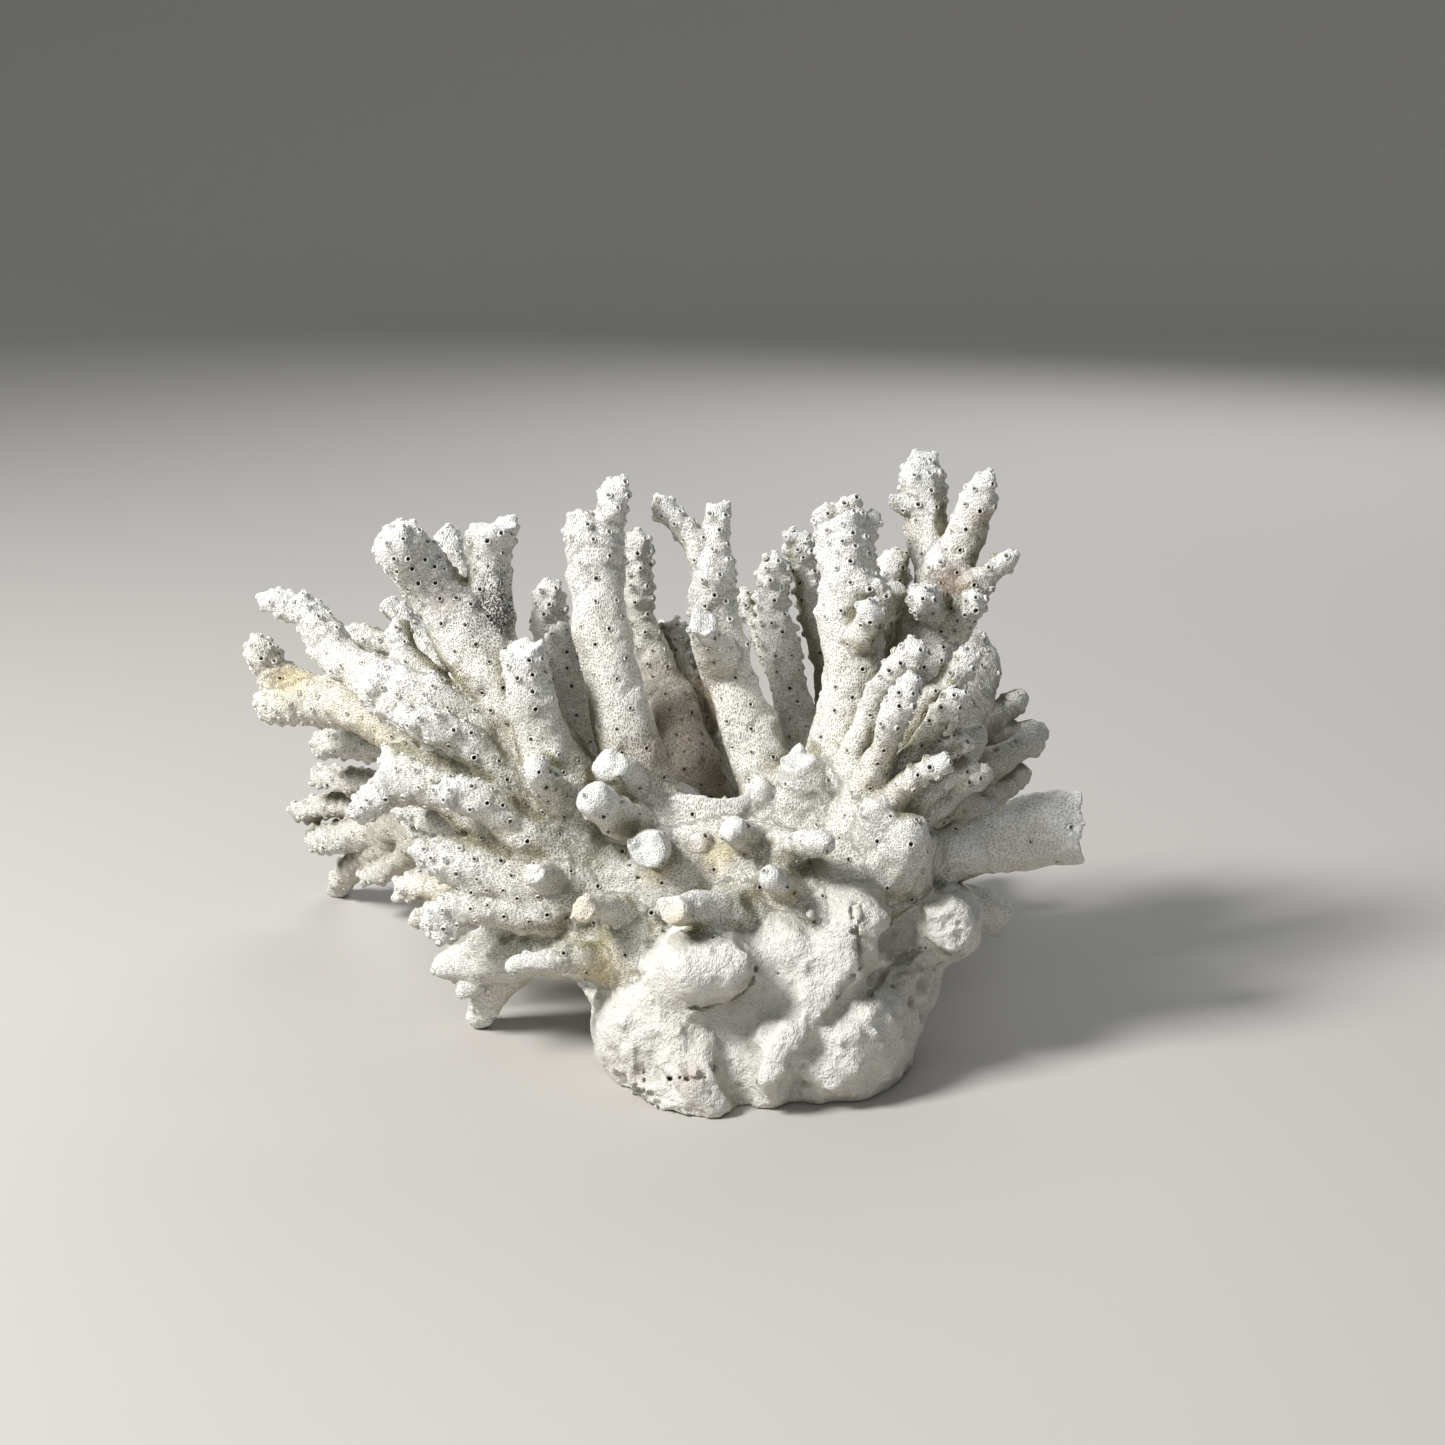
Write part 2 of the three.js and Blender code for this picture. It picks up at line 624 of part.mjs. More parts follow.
const coral = new THREE.Group();
addMesh(coral, 'holdfast', holdfastSolid(0), CHALK);
let taken = holdfastSolid(GAP);
for (const [name, limb] of Object.entries(LIMBS)) {
  addMesh(coral, name, largest(limbSolid(limb, 0).subtract(taken)), limb.colour);
  taken = taken.add(limbSolid(limb, GAP));
}

// The origin is at the middle of the whole coral's outline, on the table
const outline = new THREE.Box3().setFromObject(coral);
const middle = outline.getCenter(new THREE.Vector3());
coral.position.set(-middle.x, -middle.y, 0);

export default coral;
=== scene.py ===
"""Bleached branching coral: the fine surface of every limb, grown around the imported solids.

Lengths are millimetres until a mesh is made, and places are given in the coral's own frame,
which FRAME_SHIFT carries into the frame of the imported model.
"""

import logging
import math
from dataclasses import dataclass
from enum import Enum

import bpy
import numpy as np
import openvdb
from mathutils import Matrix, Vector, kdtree


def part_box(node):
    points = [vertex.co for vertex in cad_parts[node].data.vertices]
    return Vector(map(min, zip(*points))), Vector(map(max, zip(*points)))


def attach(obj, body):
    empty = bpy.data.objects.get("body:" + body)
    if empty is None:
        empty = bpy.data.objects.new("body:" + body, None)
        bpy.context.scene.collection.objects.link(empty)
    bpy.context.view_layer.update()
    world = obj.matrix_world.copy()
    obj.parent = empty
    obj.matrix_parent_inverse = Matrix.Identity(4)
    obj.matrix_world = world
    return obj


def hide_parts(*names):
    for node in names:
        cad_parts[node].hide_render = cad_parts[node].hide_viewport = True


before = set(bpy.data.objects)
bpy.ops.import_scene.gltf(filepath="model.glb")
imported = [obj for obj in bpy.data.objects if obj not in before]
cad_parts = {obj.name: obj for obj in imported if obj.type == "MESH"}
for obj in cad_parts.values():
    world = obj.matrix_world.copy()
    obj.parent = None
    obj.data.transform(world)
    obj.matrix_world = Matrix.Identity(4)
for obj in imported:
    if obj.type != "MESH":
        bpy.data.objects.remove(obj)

Pair = tuple[float, float]
Triple = tuple[float, float, float]
Station = tuple[float, float, float, float]

LOG = logging.getLogger("coral")
MM = 0.001
SEED = 20
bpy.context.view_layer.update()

# The coral's own origin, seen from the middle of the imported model's box
FRAME_SHIFT = np.array((14.3603, -0.7759, 0.0))

# What the lamps look at, in metres
CORAL_MIDDLE = (0.0, 0.0, 0.05)

# A branch counts as young near its tip: over a share of its length, within two limits
YOUNG_SHARE = 0.55
YOUNG_LENGTHS = (8, 24)

# How far out the room in front of a point is read, to tell how deep in a recess it is, for the painted shade
# there
RECESS_READS = (3.5, 8.0)

# How open the pores of the holdfast are
HOLDFAST_PORES = 0.35

# Noise scales in lumps a metre
GRAIN_SCALE = 2600.0
CRUMB_SCALE = 950.0
SPECK_SCALE = 2300.0
CLOUD_SCALE = 130.0
DRIFT_SCALE = 75.0

# Colours that all finishes share
BARE_STONE = (0.60, 0.595, 0.585)
FRESH_STONE = (0.84, 0.85, 0.86)
# Painted shade in the pores
PORE_PAINTED_SHADE = (0.22, 0.205, 0.165)
# Painted shade in the pits of the cups
CUP_PAINTED_SHADE = (0.035, 0.032, 0.027)


class Slot(Enum):
    """The finishes that the record names."""

    CHALK = "chalk"
    BONE = "bone"
    CREAM = "cream"
    DUSTY = "dusty"


class End(Enum):
    """How a branch ends."""

    ROUND = "round"
    BROKEN = "broken"


class StainAndShade(Enum):
    """Colours that dirt and algae left, of which earth, straw and clay also paint shade under stubs and in
    hollows, each with its strongest share.
    """

    SOOT = (0.035, 0.032, 0.03, 0.9)
    EARTH = (0.13, 0.085, 0.05, 0.95)
    STRAW = (0.62, 0.5, 0.24, 0.6)
    MOSS = (0.2, 0.2, 0.1, 0.7)
    CLAY = (0.34, 0.24, 0.15, 0.75)


@dataclass(frozen=True)
class Branch:
    """One branch: stations from its root to its tip, and how it ends.

    A station is a place and the radius there. A flat branch is thinner from front to back,
    by the share flat.
    """

    stations: tuple[Station, ...]
    end: End = End.ROUND
    flat: float = 1.0


def twig(*stations: Station, flat: float = 1.0) -> Branch:
    """A branch with a rounded tip."""
    return Branch(stations, End.ROUND, flat)


def stub(*stations: Station, flat: float = 1.0) -> Branch:
    """A branch that is broken off."""
    return Branch(stations, End.BROKEN, flat)


@dataclass(frozen=True)
class Limb:
    """A limb of the coral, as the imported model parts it.

    cups is how thickly corallites stand on it, knobs how far they stand out, and web how
    wide the fillets at its forks are.
    """

    name: str
    slot: Slot
    branches: tuple[Branch, ...]
    cups: float
    knobs: float
    web: float


def limb(name: str, slot: Slot, cups: float, knobs: float, web: float, *branches: Branch) -> Limb:
    """A limb with its values first and its branches last."""
    return Limb(name, slot, branches, cups, knobs, web)


LIMBS = (
    limb(
        "crown", Slot.CHALK, 0.55, 0.6, 1.7,
        twig((14, -38, 22, 14), (7, -36, 33, 12.5), (-8, -35, 35, 11), (-22, -36, 32, 9)),
        twig((10, -30, 30, 15), (12, -24, 42, 10), (12, -20, 48, 6)),
        twig((15, -38, 25, 12), (23, -36, 35, 11), (32, -34, 38, 8.5)),
        twig((-10, -28, 34, 12), (-8, -25, 41, 7), (-8, -23, 44.5, 4.5)),
        stub((-12, -30, 38, 5), (-12.5, -42, 43, 3.1), (-13.5, -51, 45.5, 2.8)),
        stub((10, -30, 38, 5), (5.5, -42, 44, 2.8), (1.5, -50, 49.2, 2.6)),
        stub((-26, -34, 33, 5.2), (-32, -45, 38, 2.8), (-34, -51, 41, 2.3)),
        stub((-16, -40, 29, 5), (-21, -50, 33.5, 2.9), (-25, -56, 36, 2.4)),
        stub((3, -48, 32.5, 5), (-5, -58, 36.6, 2.9), (-8.7, -62.5, 38.3, 2.6)),
        twig((-14, -32, 42, 4.8), (-18, -42, 48, 3.3), (-23, -50, 54, 3.4)),
        stub((-14, -27, 46, 5), (-18, -36, 54, 3.6), (-20.5, -40, 58, 3.1)),
        twig((-3, -28, 34, 8), (-3, -31, 42, 5)),
        stub((-3, -39, 35, 8.5), (-3.2, -36.5, 44, 8), (-3.2, -35, 50.3, 7.8), flat=0.22),
        twig((-3, -33, 39, 4), (-4, -42, 43, 2.4)),
        twig((8, -32, 42, 4.2), (7.2, -34, 49, 2.2), (7.1, -34, 51.5, 1.6)),
        twig((13, -33, 38, 7.5), (15, -32, 48, 6), (16, -32, 53, 4.4)),
        stub((20, -30, 46, 6), (15, -33, 54, 4.2), (14, -34, 57.5, 3.4)),
        twig((16, -31, 50, 5), (23, -33, 54, 3.3)),
        twig((9, -40, 40, 4.6), (14, -50, 45.5, 3), (17.5, -53, 47, 2.6)),
        twig((28, -37, 38, 7), (29, -42, 47, 4.4), (27.5, -44, 51, 3)),
        twig((30, -37, 37, 8.5), (33, -43, 43, 5.8), (34, -45, 46, 4)),
        twig((12, -46, 36, 4), (9.5, -55, 41, 2.6), (8.5, -57, 42, 2.2)),
        twig((16, -50, 33, 2.4), (15.6, -56, 35, 1.3)),
    ),
    limb(
        "tall_left_branch", Slot.CHALK, 1.0, 0.9, 1.0,
        twig(
            (-12, -33, 39, 8), (-17, -28, 57, 6.2), (-21, -24, 72, 5.3), (-23, -20, 83, 5),
            (-23.5, -17, 92, 4.9), (-21.5, -16, 98, 3.1), (-20.3, -15, 104.6, 2.5),
        ),
        twig((-23, -17, 88, 5.2), (-26, -16, 97, 3.6)),
    ),
    limb(
        "upper_left_limb", Slot.CHALK, 1.05, 0.8, 1.0,
        twig(
            (-20, -30, 38, 9), (-31, -28, 52, 7.9), (-39, -26, 66, 7.1), (-47, -23, 77, 6.6),
            (-53, -21, 85, 5.8), (-57, -23, 92, 5), (-59, -25, 95.5, 4.7),
        ),
        stub((-44, -23, 73, 5.6), (-44, -20, 85, 4.2), (-44, -18, 93, 4.1), (-44, -18, 98, 4.8)),
        twig((-49, -14, 78, 4.2), (-52, -4, 86, 3.4), (-54, 0, 92, 2.8)),
        stub((-28, -33, 47, 7), (-34, -33, 64, 5), (-37, -33, 78, 4)),
        twig((-30, -36, 49, 4), (-33, -48, 59, 2.5)),
    ),
    limb(
        "left_blade", Slot.CHALK, 1.1, 0.8, 1.0,
        twig(
            (-24, -31, 36, 8.4), (-36, -30, 47, 7.6), (-46, -28, 58, 6.8),
            (-55, -26, 65, 6.4), (-63, -24, 69, 5),
        ),
        twig((-55, -25, 66, 5.6), (-60, -22, 74, 3), (-61, -21, 79, 1.6)),
    ),
    limb(
        "left_wing_tip", Slot.CHALK, 1.25, 1.2, 1.0,
        twig(
            (-62, -22, 68, 4.6), (-71, -16, 70, 4), (-77, -10, 74, 3.5),
            (-82, -6, 79, 3.2), (-88, -4, 81, 2.4),
        ),
        twig((-76, -11, 73, 3.4), (-81, -8, 81, 2.5)),
    ),
    limb(
        "far_left_limb", Slot.CREAM, 1.15, 1.15, 1.0,
        twig(
            (-42, -18, 46, 6.4), (-56, -8, 52, 5.6), (-69, 1, 56, 5.4),
            (-82, 7, 58, 5.2), (-92, 10, 57, 3.8),
        ),
        twig((-82, 8, 58, 5), (-91, 12, 61, 4.5), (-94, 12, 67, 3.2)),
    ),
    limb(
        "far_left_twig", Slot.BONE, 1.15, 1.15, 1.0,
        twig(
            (-44, -4, 48, 5.2), (-51, 10, 57, 4.2), (-58, 16, 64, 3.6),
            (-64, 20, 68, 3), (-67, 22, 73, 2.3),
        ),
        twig((-64, 20, 67, 2.6), (-69, 22, 74, 2)),
        twig((-58, 16, 63, 3.4), (-70, 20, 67, 2.8), (-78, 22, 68, 2.6)),
    ),
    limb(
        "left_low_limb", Slot.CHALK, 1.1, 1.1, 1.0,
        twig(
            (-27, -35, 36, 7.4), (-41, -34, 45, 5.8), (-52, -32, 52, 5.2),
            (-60, -31, 52, 4.2), (-67, -32, 47, 2.2),
        ),
        twig((-36, -32, 46, 5), (-46, -34, 59, 3.8), (-52, -35, 64, 3), (-58, -35, 66, 1.8)),
        twig((-33, -38, 41, 5.6), (-42, -41, 50, 3.8), (-47, -42, 53, 3.3), (-52, -43, 53, 2)),
        twig((-53, -30, 54, 4.1), (-61, -27, 55, 2.6)),
    ),
    limb(
        "left_fringe", Slot.CHALK, 1.15, 1.15, 1.0,
        twig((-25, -39, 32, 7), (-38, -40, 36, 5.4), (-48, -40, 39, 4.2), (-55, -40, 41, 2.4)),
        twig((-32, -41, 30, 4.6), (-42, -42, 31, 3.2), (-50, -42, 31, 2.8), (-54, -42, 28, 1.9)),
        twig((-46, -41, 31, 2.8), (-52, -42, 26, 2.4)),
        twig((-38, -36, 36, 4.5), (-51, -24, 41, 3), (-62, -18, 43, 1.9)),
        twig((-39, -36, 32, 3.8), (-53, -20, 37, 2.4), (-62, -14, 38, 1.8)),
    ),
    limb(
        "left_fringe_rear", Slot.CREAM, 1.1, 1.5, 1.0,
        twig((-34, -30, 30, 5), (-45, -24, 29, 4.2), (-57, -14, 25, 2.8), (-65, -10, 24, 2)),
        twig((-46, -24, 28, 3), (-59, -20, 21, 1.9)),
    ),
    limb(
        "foot_branch", Slot.BONE, 0.6, 0.7, 1.0,
        twig((-17, -45, 24, 7.6), (-30, -38, 22, 5.4), (-43, -30, 17, 4.6), (-53, -27, 14, 3.2)),
        twig((-39, -29, 17, 4.8), (-44.5, -25.5, 9, 4.4), (-47, -24.5, 3.1, 3.5)),
        twig((-45, -28, 14, 3), (-50, -30, 10, 1.6)),
        twig((-33, -38, 26, 3), (-40, -34, 25, 2.3), (-46, -32, 21, 1.6)),
        twig((-19, -47, 22, 4.4), (-28, -52, 25, 2.6), (-38, -53, 24, 1.6)),
    ),
    limb(
        "rear_left_limb", Slot.DUSTY, 1.15, 1.35, 1.0,
        twig(
            (-34, -18, 35, 7), (-52, 5, 34, 5.8), (-69, 25, 27, 5.2),
            (-82, 38, 19, 3.8), (-90, 42, 17, 2.6),
        ),
        twig((-50, 2, 37, 4.6), (-57, 6, 45, 3.9), (-72, 20, 45, 3), (-85, 28, 43, 2.3)),
        twig((-60, 14, 32, 4.2), (-77, 32, 33, 2.8), (-88, 38, 33, 2)),
        twig((-69, 25, 26, 3.9), (-83, 40, 26, 2.8), (-95, 46, 22, 2.2)),
        stub((-70, 26, 23, 4), (-82, 44, 11, 3), (-88, 54, 1, 2.6), (-89, 56, -3, 2.6)),
        twig((-62, 15, 26, 3.6), (-72, 28, 15, 2.5), (-78, 36, 11, 2)),
    ),
    limb(
        "tall_centre_branch", Slot.CHALK, 1.05, 1.2, 1.0,
        twig(
            (14, -29, 40, 7.6), (8, -22, 51, 5.8), (4, -18, 62, 5),
            (1, -15, 72, 4.5), (-2, -13, 82, 4.1), (-2, -12, 91, 3.8),
        ),
        twig((-3, -12, 90, 3.4), (-7, -11, 96, 2.5), (-11, -10, 100, 2)),
        twig((-2, -12, 90, 3.4), (-1, -11, 99, 2.4)),
        stub((0, -16, 71, 4.4), (-3, -24, 78.5, 3.1), (-3.4, -28, 82, 2.6)),
    ),
    limb(
        "rear_centre_right_branch", Slot.BONE, 1.25, 1.9, 1.0,
        twig((18, -16, 40, 6.2), (15, 0, 55, 3.9), (12, 5, 68, 3.3), (10, 7, 78, 3), (10, 8, 85, 2.4)),
        twig((13, 6, 63, 3.4), (9, 14, 70, 2.7), (5, 16, 77, 2)),
    ),
    limb(
        "rear_right_twig", Slot.BONE, 1.3, 2.0, 1.0,
        twig((24, -10, 44, 4.8), (21, 12, 64, 2.9), (18, 15, 77, 2.5), (15, 16, 89, 2.1)),
    ),
    limb(
        "rear_centre_left_branch", Slot.DUSTY, 1.25, 1.9, 1.0,
        twig(
            (-3, -16, 38, 6.6), (-10, 8, 57, 4.8), (-15, 12, 69, 3.3),
            (-17, 13, 79, 2.4), (-17, 14, 89, 1.8),
        ),
        twig((-6, 0, 45, 5), (-8.5, 14, 57, 4.5), (-10.5, 20, 68, 3)),
        twig((-3, -12, 38, 6), (-1, 7, 47, 5.4), (0, 13, 56, 4.2), (-1, 15, 62, 3)),
    ),
    limb(
        "rear_left_pair", Slot.BONE, 1.1, 1.3, 1.0,
        twig((-20, -16, 38, 6.6), (-30, 3, 59, 4.4), (-34, 8, 70, 3.6), (-35, 8, 80, 2.8)),
        twig((-22, -16, 42, 5.5), (-29, -9, 59, 3.9), (-31, -7, 73, 3.4)),
    ),
    limb(
        "right_centre_limb", Slot.CHALK, 1.1, 1.1, 1.0,
        stub(
            (20, -32, 37, 9), (23, -26, 52, 7.6), (25, -22, 65, 6.4), (25, -19, 76, 6.2),
            (24, -17, 86, 5.8), (23, -15, 94, 5.2), (22, -14, 99, 4.6),
        ),
        stub((22, -14, 95, 4), (18, -14, 101, 2)),
        stub((23, -14, 96, 3.6), (24, -14, 103, 1.6)),
        twig((25, -15, 95, 3.4), (29, -14, 99, 1.6)),
        stub((26, -19, 80, 5), (31, -20, 87, 3)),
        twig((28, -14, 67, 4.6), (33, 0, 78, 3.4), (34, 2, 87, 2.6)),
        twig((26, -24, 78, 3.4), (27, -32, 85, 2.2)),
    ),
    limb(
        "right_tall_limb", Slot.CHALK, 1.15, 1.15, 1.0,
        twig(
            (29, -25, 40, 8), (35, -16, 60, 7.2), (38, -13, 72, 6.8),
            (42, -11, 82, 6.2), (43, -10, 89, 5),
        ),
        twig((42, -9, 86, 5), (39, -5, 97, 4.1), (39, -3, 102, 4.3), (39, -2, 105.8, 4)),
        twig((39, -5, 100, 2.7), (34, -6, 100, 1.8)),
        twig((44, -11, 87, 4.3), (47, -12, 98, 3.4), (50, -13, 106, 2.7)),
        twig((44, -13, 81, 4.4), (50, -16, 88, 2.9), (54, -17, 91, 2)),
        twig((40, -16, 82, 4), (37, -26, 86, 2.6)),
        twig((44, -16, 79, 3.4), (47, -24, 85, 2.2)),
    ),
    limb(
        "right_finger_cluster", Slot.CHALK, 1.2, 1.1, 1.0,
        twig((24, -36, 40, 7), (28, -37, 53, 5.4)),
        twig((24, -33, 55, 4.2), (30, -33, 70, 2.7), (35, -35, 77.5, 2)),
        twig((28, -35, 52, 4), (37, -34, 67, 2.3), (45, -34, 76, 1.8)),
        twig((27, -39, 54, 4), (30, -46, 67, 2.5), (33, -49, 75, 1.9)),
        twig((31, -39, 54, 3.2), (38, -40, 65, 2.1), (42, -42, 71, 1.5)),
        twig((30, -39, 51, 3.4), (37, -40, 58, 2.4), (43, -41, 62, 1.8)),
        twig((29, -40, 49, 3.4), (35, -46, 58, 2), (39, -48, 60, 1.6)),
        twig((29, -37, 45, 4.3), (40, -38, 54, 2.3), (45, -40, 58, 1.5)),
        twig((30, -35, 44, 4.4), (43, -31, 50, 2.7), (49, -30, 53, 1.8)),
    ),
    limb(
        "right_rear_plate", Slot.DUSTY, 0.7, 0.5, 1.0,
        twig(
            (28, -22, 36, 8.8), (44, 2, 42, 8.2), (48, 18, 52, 7.8), (51, 24, 60, 7), (52, 26, 64.5, 4.6),
            flat=0.55,
        ),
        twig((50, 12, 48, 4.8), (58, 22, 51, 3.2), (62, 24, 54, 2.3)),
        twig((49, 8, 44, 4.5), (61, 20, 47, 2.8), (67, 24, 47, 2)),
        twig((45, 0, 41, 4.8), (58, 6, 47, 2.9), (64, 8, 49, 2.2)),
        twig((44, -4, 39, 5), (56, 8, 39, 3.3), (61, 12, 41, 2.6)),
        twig((42, -8, 39, 4.5), (53, -2, 38, 2.4)),
        twig((43, -4, 45, 4.4), (50, -4, 53, 2.6)),
    ),
    limb(
        "right_stub", Slot.CHALK, 0.4, 0.1, 1.0,
        twig((25, -36, 34, 7.6), (38, -34, 37, 5), (46, -33, 39.5, 4.2)),
        stub(
            (36, -34, 36, 5), (48, -33, 40.3, 5.2), (57, -32, 42, 7), (67, -31, 43.2, 7),
            flat=0.62,
        ),
    ),
    limb(
        "right_low_stub", Slot.BONE, 0.5, 0.4, 1.0,
        twig((29, -32, 27, 7.5), (44, -22, 24, 5.2), (53, -18, 21, 3.8)),
    ),
    limb(
        "rear_low_left_limb", Slot.DUSTY, 1.1, 1.5, 1.0,
        twig((-12, -14, 28, 8.5), (-32, 14, 27, 6.5), (-44, 36, 22, 5), (-52, 50, 19, 3.4)),
        twig((-32, 14, 27, 5), (-26, 34, 26, 3.8), (-24, 45, 26, 2.8)),
        twig((-44, 36, 22, 4), (-41, 52, 18, 3.2), (-38, 62, 16, 2.4)),
        stub((-40, 28, 23, 4.2), (-44, 38, 11, 3.4), (-46, 42, 1, 3.2), (-46, 43, -3, 3.2)),
    ),
    limb(
        "rear_middle_limb", Slot.DUSTY, 1.1, 1.5, 1.0,
        twig((5, -8, 28, 9.5), (0, 15, 30, 7.5), (-8, 35, 27, 6), (-16, 54, 22, 4.2)),
        twig((0, 15, 30, 5.5), (7, 33, 29, 4), (10, 46, 28, 3)),
        twig((-8, 35, 27, 4.6), (-21, 43, 27, 3.2), (-30, 50, 27, 2.4)),
        twig((-12, 44, 25, 4.2), (-6, 57, 20, 3.2), (-2, 66, 18, 2.4)),
        stub((-3, 24, 27, 5), (-6, 36, 13, 4), (-7, 42, 2, 3.6), (-7, 43, -3, 3.6)),
    ),
    limb(
        "rear_right_limb", Slot.DUSTY, 1.1, 1.5, 1.0,
        twig((17, -12, 28, 10), (28, 8, 28, 8), (36, 26, 24, 6.5), (42, 42, 19, 5), (46, 53, 17, 3.4)),
        twig((32, 16, 27, 5.2), (46, 24, 25, 3.8), (53, 28, 24, 2.6)),
        twig((34, 24, 25, 5.2), (27, 42, 24, 3.8), (23, 55, 23, 2.6)),
        twig((40, 36, 20, 4.6), (51, 38, 16, 3.2), (58, 39, 15, 2.2)),
        stub((37, 30, 22, 5), (42, 39, 10, 4), (44, 44, 1, 3.6), (44, 45, -3, 3.6)),
    ),
)


@dataclass(frozen=True)
class Camera:
    """The photograph's view: a square frame, a lens and a place that looks slightly down.

    Lengths are millimetres, except the near clip, which is metres.
    """

    frame_pixels: float = 1445.0
    focal_pixels: float = 2250.0
    sensor: float = 36.0
    pitch: float = math.radians(15.0)
    distance: float = 450.0
    aim_height: float = 55.2
    near_clip: float = 0.01

    @property
    def place(self) -> np.ndarray:
        """The camera's place in the coral's own frame."""
        back = np.array((0.0, -math.cos(self.pitch), math.sin(self.pitch)))
        return back * self.distance + np.array((0.0, 0.0, self.aim_height))

    def ray(self, pixel: Pair) -> np.ndarray:
        """Direction of the sight line through a pixel.

        Args:
            pixel: Place in the photograph's square frame.

        Returns:
            A vector of unit length.
        """
        middle = self.frame_pixels / 2
        across = (pixel[0] - middle) / self.focal_pixels
        up = (middle - pixel[1]) / self.focal_pixels
        ahead = np.array((0.0, math.cos(self.pitch), -math.sin(self.pitch)))
        upward = np.array((0.0, math.sin(self.pitch), math.cos(self.pitch)))
        line = np.array((across, 0.0, 0.0)) + ahead + up * upward
        return line / np.linalg.norm(line)

    def build(self) -> bpy.types.Object:
        """Makes the camera and sets it as the scene's.

        Returns:
            The camera object.
        """
        data = bpy.data.cameras.new("sight")
        data.sensor_width = self.sensor
        data.lens = self.sensor * self.focal_pixels / self.frame_pixels
        data.clip_start = self.near_clip
        camera = bpy.data.objects.new("sight", data)
        camera.location = (self.place + FRAME_SHIFT) * MM
        camera.rotation_euler = (math.pi / 2 - self.pitch, 0.0, 0.0)
        bpy.context.scene.collection.objects.link(camera)
        bpy.context.scene.camera = camera
        return camera


@dataclass(frozen=True)
class Mark:
    """A coloured mark where a pixel of the photograph shows it, some of staining and some of painted shade:
    radius in millimetres, kind, strength.
    """

    pixel: Pair
    radius: float
    kind: StainAndShade
    strength: float = 1.0


@dataclass(frozen=True)
class Crack:
    """A crack or crease along pixels of the photograph, with its width and depth."""

    pixels: tuple[Pair, ...]
    width: float
    depth: float


@dataclass(frozen=True)
class Relief:
    """A ridge, lump or hollow along pixels of the photograph.

    height is how far it stands out, or lies in where it is negative, and flow is the width
    of the fillet round it.
    """

    pixels: tuple[Pair, ...]
    radius: float
    height: float
    flow: float = 1.0


@dataclass(frozen=True)
class RoughPatch:
    """A place where the surface is broken rough: centre, radius and height of its grains."""

    centre: Triple
    radius: float
    height: float


@dataclass(frozen=True)
class Notch:
    """A bite that is broken out of the stone: the ends of its middle line and its radius."""

    start: Triple
    end: Triple
    radius: float


# Centre and half sizes of each lump of the holdfast
LUMPS = (
    (8, -33, 12, 29, 27, 25),
    (6, -8, 12, 26, 20, 20),
    (19, -45, 8, 16, 17, 16),
    (-3, -53, 23, 11, 10, 9),
    (-12, -46, 9, 12, 13, 13),
    (-4, -55, 4, 11, 11, 12),
    (8, -57, 8, 6, 8, 11),
    (40, -37, 26, 9, 10, 8),
    (32, -36, 14, 9, 11, 11),
    (24, -50, 29, 7, 8, 8),
    (12, -52, 24, 8, 8, 9),
    (-18, -38, 21, 9, 10, 12),
)

CRACKS = (
    Crack(((924, 948), (905, 957), (893, 963), (883, 976), (871, 990), (870, 999)), 1.2, 1.3),
    Crack(((855, 927), (859, 945), (861, 962), (852, 980), (838, 1000)), 1.3, 1.2),
    Crack(((757, 962), (752, 984), (740, 996), (712, 1007), (690, 1008)), 1.1, 1.0),
    Crack(((853, 921), (851, 911), (855, 904), (860, 903), (864, 908), (865, 916), (861, 922)), 0.7, 0.55),
    Crack(((905, 982), (908, 984)), 1.4, 2.4),
    Crack(((928, 990), (930, 992)), 1.3, 2.4),
    Crack(((869, 999), (870, 1001)), 1.4, 2.2),
    Crack(((948, 958), (950, 961)), 1.1, 1.8),
    Crack(((665, 1080), (682, 1077), (697, 1079)), 1.0, 1.2),
    Crack(((710, 1080), (712, 1082)), 1.2, 2.0),
    Crack(((756, 1084), (759, 1086)), 0.9, 1.5),
    Crack(((777, 972), (778, 975)), 1.0, 1.4),
    Crack(((770, 991), (771, 993)), 1.0, 1.4),
    Crack(((627, 846), (629, 858), (634, 872), (640, 880)), 0.8, 0.8),
)

RELIEFS = (
    Relief(((820, 890), (832, 930), (838, 960), (822, 1000), (802, 1030)), 6.5, 1.6, 2.2),
    Relief(((795, 1030), (776, 1052), (764, 1084)), 2.9, 1.9, 0.8),
    Relief(((730, 1032), (735, 1060), (739, 1098)), 3.4, -2.2, 1.4),
    Relief(((690, 958), (724, 952)), 6.4, 2.6, 1.6),
    Relief(((696, 978), (730, 972)), 5.8, 2.8, 0.5),
    Relief(((768, 940), (776, 965), (780, 995)), 4.2, -1.7, 2.2),
    Relief(((756, 1000), (735, 1016), (705, 1020)), 3.2, -1.1, 1.6),
    Relief(((860, 911), (860, 915)), 1.4, 0.6, 0.3),
    Relief(((868, 950), (872, 975), (856, 1000), (838, 1022), (815, 1046)), 2.8, -1.6, 0.9),
    Relief(((944, 912), (958, 918), (962, 930)), 4.2, 2.6, 0.4),
    Relief(((938, 935), (950, 945)), 3.2, 1.6, 0.4),
    Relief(((900, 930), (885, 948)), 3.6, -1.3, 1.2),
    Relief(((880, 1020), (862, 1045), (835, 1075)), 6.5, 1.3, 2.5),
    Relief(((915, 975), (900, 1000)), 3.0, 1.2, 0.7),
    Relief(((660, 1065), (690, 1085), (718, 1105)), 3.2, 1.6, 0.7),
)

NOTCHES = (
    Notch((62.5, -42, 26), (62.5, -40, 22), 14.2),
    Notch((71.5, -40, 41.5), (71.5, -22, 41.5), 5.0),
    Notch((-1, -42, 53.6), (0.5, -28, 53.6), 3.0),
    Notch((4, -42, 52.6), (4.5, -28, 52.6), 1.8),
)

